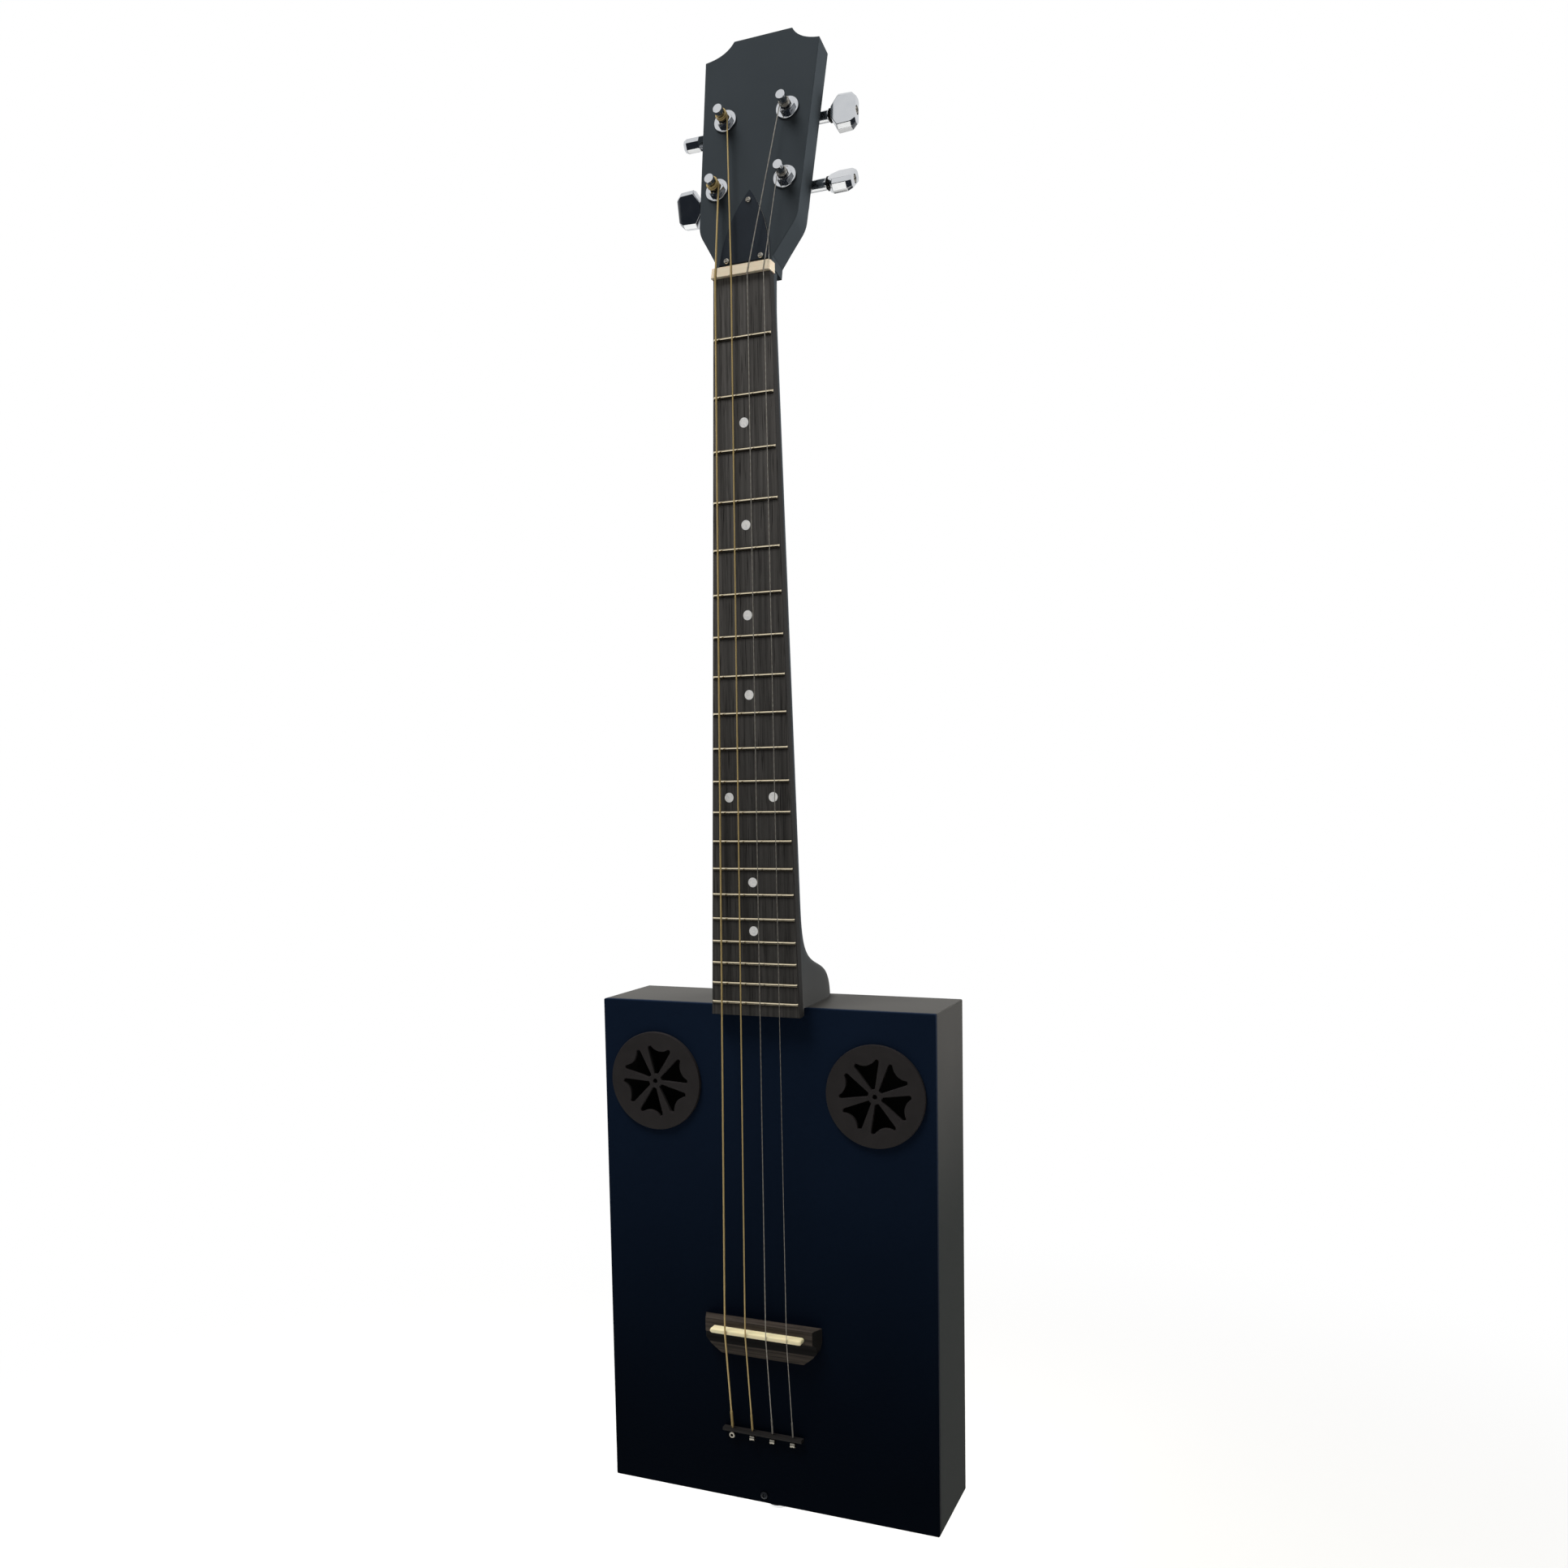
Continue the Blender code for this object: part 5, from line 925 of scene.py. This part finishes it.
saddle_outline = arc((SADDLE_HALF, 0), SADDLE_ROUND, -90, 90, 12)
saddle_outline += arc((-SADDLE_HALF, 0), SADDLE_ROUND, 90, 270, 12)
saddle = eased(prism(saddle_outline, SADDLE_FOOT, SADDLE_TOP), 0.0011, 4, lambda p: p.y < SADDLE_TOP + 0.0001)
yellow_bone = streaked("saddle_bone", BONE_STREAK, "#c2b68c", "#d3caa8", BONE_GLOSS, BONE_GLOW)
make_piece("saddle_bone", saddle, yellow_bone, ["saddle"], place=BRIDGE_PLACE @ shift((0, 0, -BRIDGE_AHEAD)))

low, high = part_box("tail_bar")
bar = block((low.x, low.y, low.z), (high.x, high.y + SEAM, high.z))
eased(bar, EDGE, 2, lambda p: p.y < high.y - EDGE)
ebonised = dark_hardwood("ebonised_hardwood", "#151414", "#2a2827", 0.0008, "X")
make_piece("tail_bar_strip", bar, ebonised, ["tail_bar"])


# Strings. Each is a steel wire, the two lower ones wound with bronze. A ball end stops it under the
# tail bar, its end is twisted back on itself above the bar, and it is wound in open turns on its post.

SADDLE_SPACING, SADDLE_MIDDLE = 0.0143, -0.0018
FOOT_Y, SADDLE_LIFT = -0.0023, 0.0002
BALL_HALF, BALL_RADIUS, BALL_HOLE, BALL_GRIP = 0.0017, 0.0020, 0.0010, 0.00135
TWIST_TURNS, TWIST_STEPS, TWIST_LENGTH, TWIST_GAUGE, TWIST_OUT = 16, 12, 0.0112, 0.00042, 0.00012


def wound_wire(name, bright, groove, roughness, pitch, mirror):
    """Metal string: drawn wire, or bronze winding as rings wider than real so that they show."""
    material, tree, shader, _ = new_finish(name)
    along = add(tree, "Attribute", attribute_name="along").outputs["Fac"]
    turns = add(tree, "Math", {0: along, 1: 2 * math.pi / pitch}, operation="MULTIPLY")
    wave = add(tree, "Math", {0: turns}, operation="SINE")
    share = add(tree, "MapRange", {"Value": wave, "From Min": -1.0, "From Max": 1.0})
    # Painted shade: the darker groove colour stands for the shade between the rings.
    colour = add(tree, "MixRGB", {"Fac": share, "Color1": linear(groove), "Color2": linear(bright)})
    bump = add(tree, "Bump", {"Height": share, "Strength": 0.25, "Distance": 0.0001})
    feed(tree, shader, {"Base Color": colour, "Normal": bump, "Metallic": mirror, "Roughness": roughness})
    return material


string_way, given = recipe("string_way", {"Way": "Geometry", "Gauge": "Float", "Sides": "Int"}, "String")
path = add(string_way, "GeometryNodeMeshToCurve", {"Mesh": given["Way"]})
length_along = add(string_way, "GeometryNodeSplineParameter").outputs["Length"]
marked = add(string_way, "GeometryNodeStoreNamedAttribute",
             {"Geometry": path, "Name": "along", "Value": length_along}, data_type="FLOAT", domain="POINT")
half_gauge = add(string_way, "Math", {0: given["Gauge"], 1: 0.5}, operation="MULTIPLY")
round_section = add(string_way, "GeometryNodeCurvePrimitiveCircle",
                    {"Resolution": given["Sides"], "Radius": half_gauge})
drawn = add(string_way, "GeometryNodeCurveToMesh",
            {"Curve": marked, "Profile Curve": round_section, "Fill Caps": True})
add(string_way, "NodeGroupOutput", {"String": drawn})


def drawn_wire(points, gauge, sides=12):
    """Mesh of a wire drawn along points with Geometry Nodes."""
    lines = [(i, i + 1) for i in range(len(points) - 1)]
    return follow(string_way, {"Gauge": gauge, "Sides": sides}, points, lines)


bronze = wound_wire("bronze_winding", "#a7966a", "#9b824d", 0.45, 0.0007, 0.40)
plain_steel = wound_wire("plain_steel_wire", "#838078", "#757068", 0.28, 0.004, 0.50)
ball_metal = nickel("ball_end_metal", "#8d897f", 0.26)
tail_low, tail_high = [point - NUT.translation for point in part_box("tail_bar")]
tail_x = (tail_low.x + tail_high.x) / 2
ball_z = tail_low.z - SEAM - BALL_RADIUS
ball_places = []
for i, gauge in enumerate(GAUGES):
    metal = bronze if i < 2 else plain_steel
    foot_x = string_x(i, SADDLE_SPACING, tail_x)
    saddle_x, saddle_y = string_x(i, SADDLE_SPACING, SADDLE_MIDDLE), SADDLE_TOP - SADDLE_LIFT - gauge / 2
    points = [Vector((foot_x, FOOT_Y, ball_z + BALL_GRIP)), Vector((foot_x, FOOT_Y, tail_high.z + gauge)),
              Vector((saddle_x, saddle_y, SADDLE_Z)), Vector((string_x(i, NUT_SPACING), NUT_TOP, 0.0))]
    mesh = drawn_wire(points + string_wraps(i, 40), gauge)
    twist_start, twist_aim = points[1], (points[2] - points[1]).normalized()
    across = twist_aim.orthogonal().normalized()
    beside = twist_aim.cross(across)
    twist = []
    for step in range(TWIST_TURNS * TWIST_STEPS + 1):
        angle = 2 * math.pi * step / TWIST_STEPS
        offset = across * math.cos(angle) + beside * math.sin(angle)
        ahead = TWIST_LENGTH * step / (TWIST_TURNS * TWIST_STEPS)
        twist.append(twist_start + twist_aim * ahead + offset * (gauge / 2 + TWIST_OUT))
    tight = drawn_wire(twist, TWIST_GAUGE, 8)
    spare = bpy.data.meshes.new("twist")
    tight.to_mesh(spare)
    tight.free()
    mesh.from_mesh(spare)
    make_piece(f"string_{i + 1}_wire", mesh, metal, [f"string_{i + 1}"], place=NUT)
    turn = Matrix.Identity(4) if i == 0 else spin(90, "Z")
    ball_places.append(NUT @ shift((foot_x, FOOT_Y, ball_z)) @ turn)

ball = turned([(BALL_HALF, -BALL_HALF), (BALL_RADIUS, -0.00145), (BALL_HALF, 0.0), (BALL_RADIUS, 0.00145),
               (BALL_HALF, BALL_HALF)], 32)
ball = cut(ball, rod(BALL_HOLE, -0.01, 0.01, 20))
set_parts("ball_ends", ball, ball_places, ball_metal)


# Strap button and face screw. A turned and plated button is screwed to the bottom wall, and one small
# blackened screw stands in the face just above it.

low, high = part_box("strap_button")
strap_spot = Vector(((low.x + high.x) / 2, (low.y + high.y) / 2, high.z + SEAM))
button_profile = [(0.0072, 0.0), (0.0072, 0.0014), (0.0066, 0.0024), (0.0048, 0.0034), (0.0040, 0.0045),
                  (0.0040, 0.0072), (0.0048, 0.0086), (0.0064, 0.0096), (0.0072, 0.0102), (0.0072, 0.0115),
                  (0.0069, 0.0121), (0.0062, 0.0125)]
screw_seat = turned([(0.0024, -0.01), (0.0024, 0.0090), (0.0048, 0.01125), (0.0048, 0.02)])
make_piece("strap_button_turned", cut(turned(button_profile, 56), screw_seat), plate_chrome, ["strap_button"],
           place=shift(strap_spot) @ spin(-90, "X"))
screw_spot = strap_spot - Vector((0, 0, 0.0112))
make_piece("strap_button_wood_screw", cross_head(0.0042, 0.0012, 0.0021, 0.030), steel,
           ["strap_button_screw"], place=shift(screw_spot) @ spin(90, "X"))

black_screw = nickel("blackened_steel", "#2c2e32", 0.40)
low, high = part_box("face_screw")
face_spot = ((low.x + high.x) / 2, front_low.y, (low.z + high.z) / 2)
make_piece("face_screw_head", cross_head(0.0025, 0.0015, 0.0009, 0.0065), black_screw, ["face_screw"],
           place=shift(face_spot))
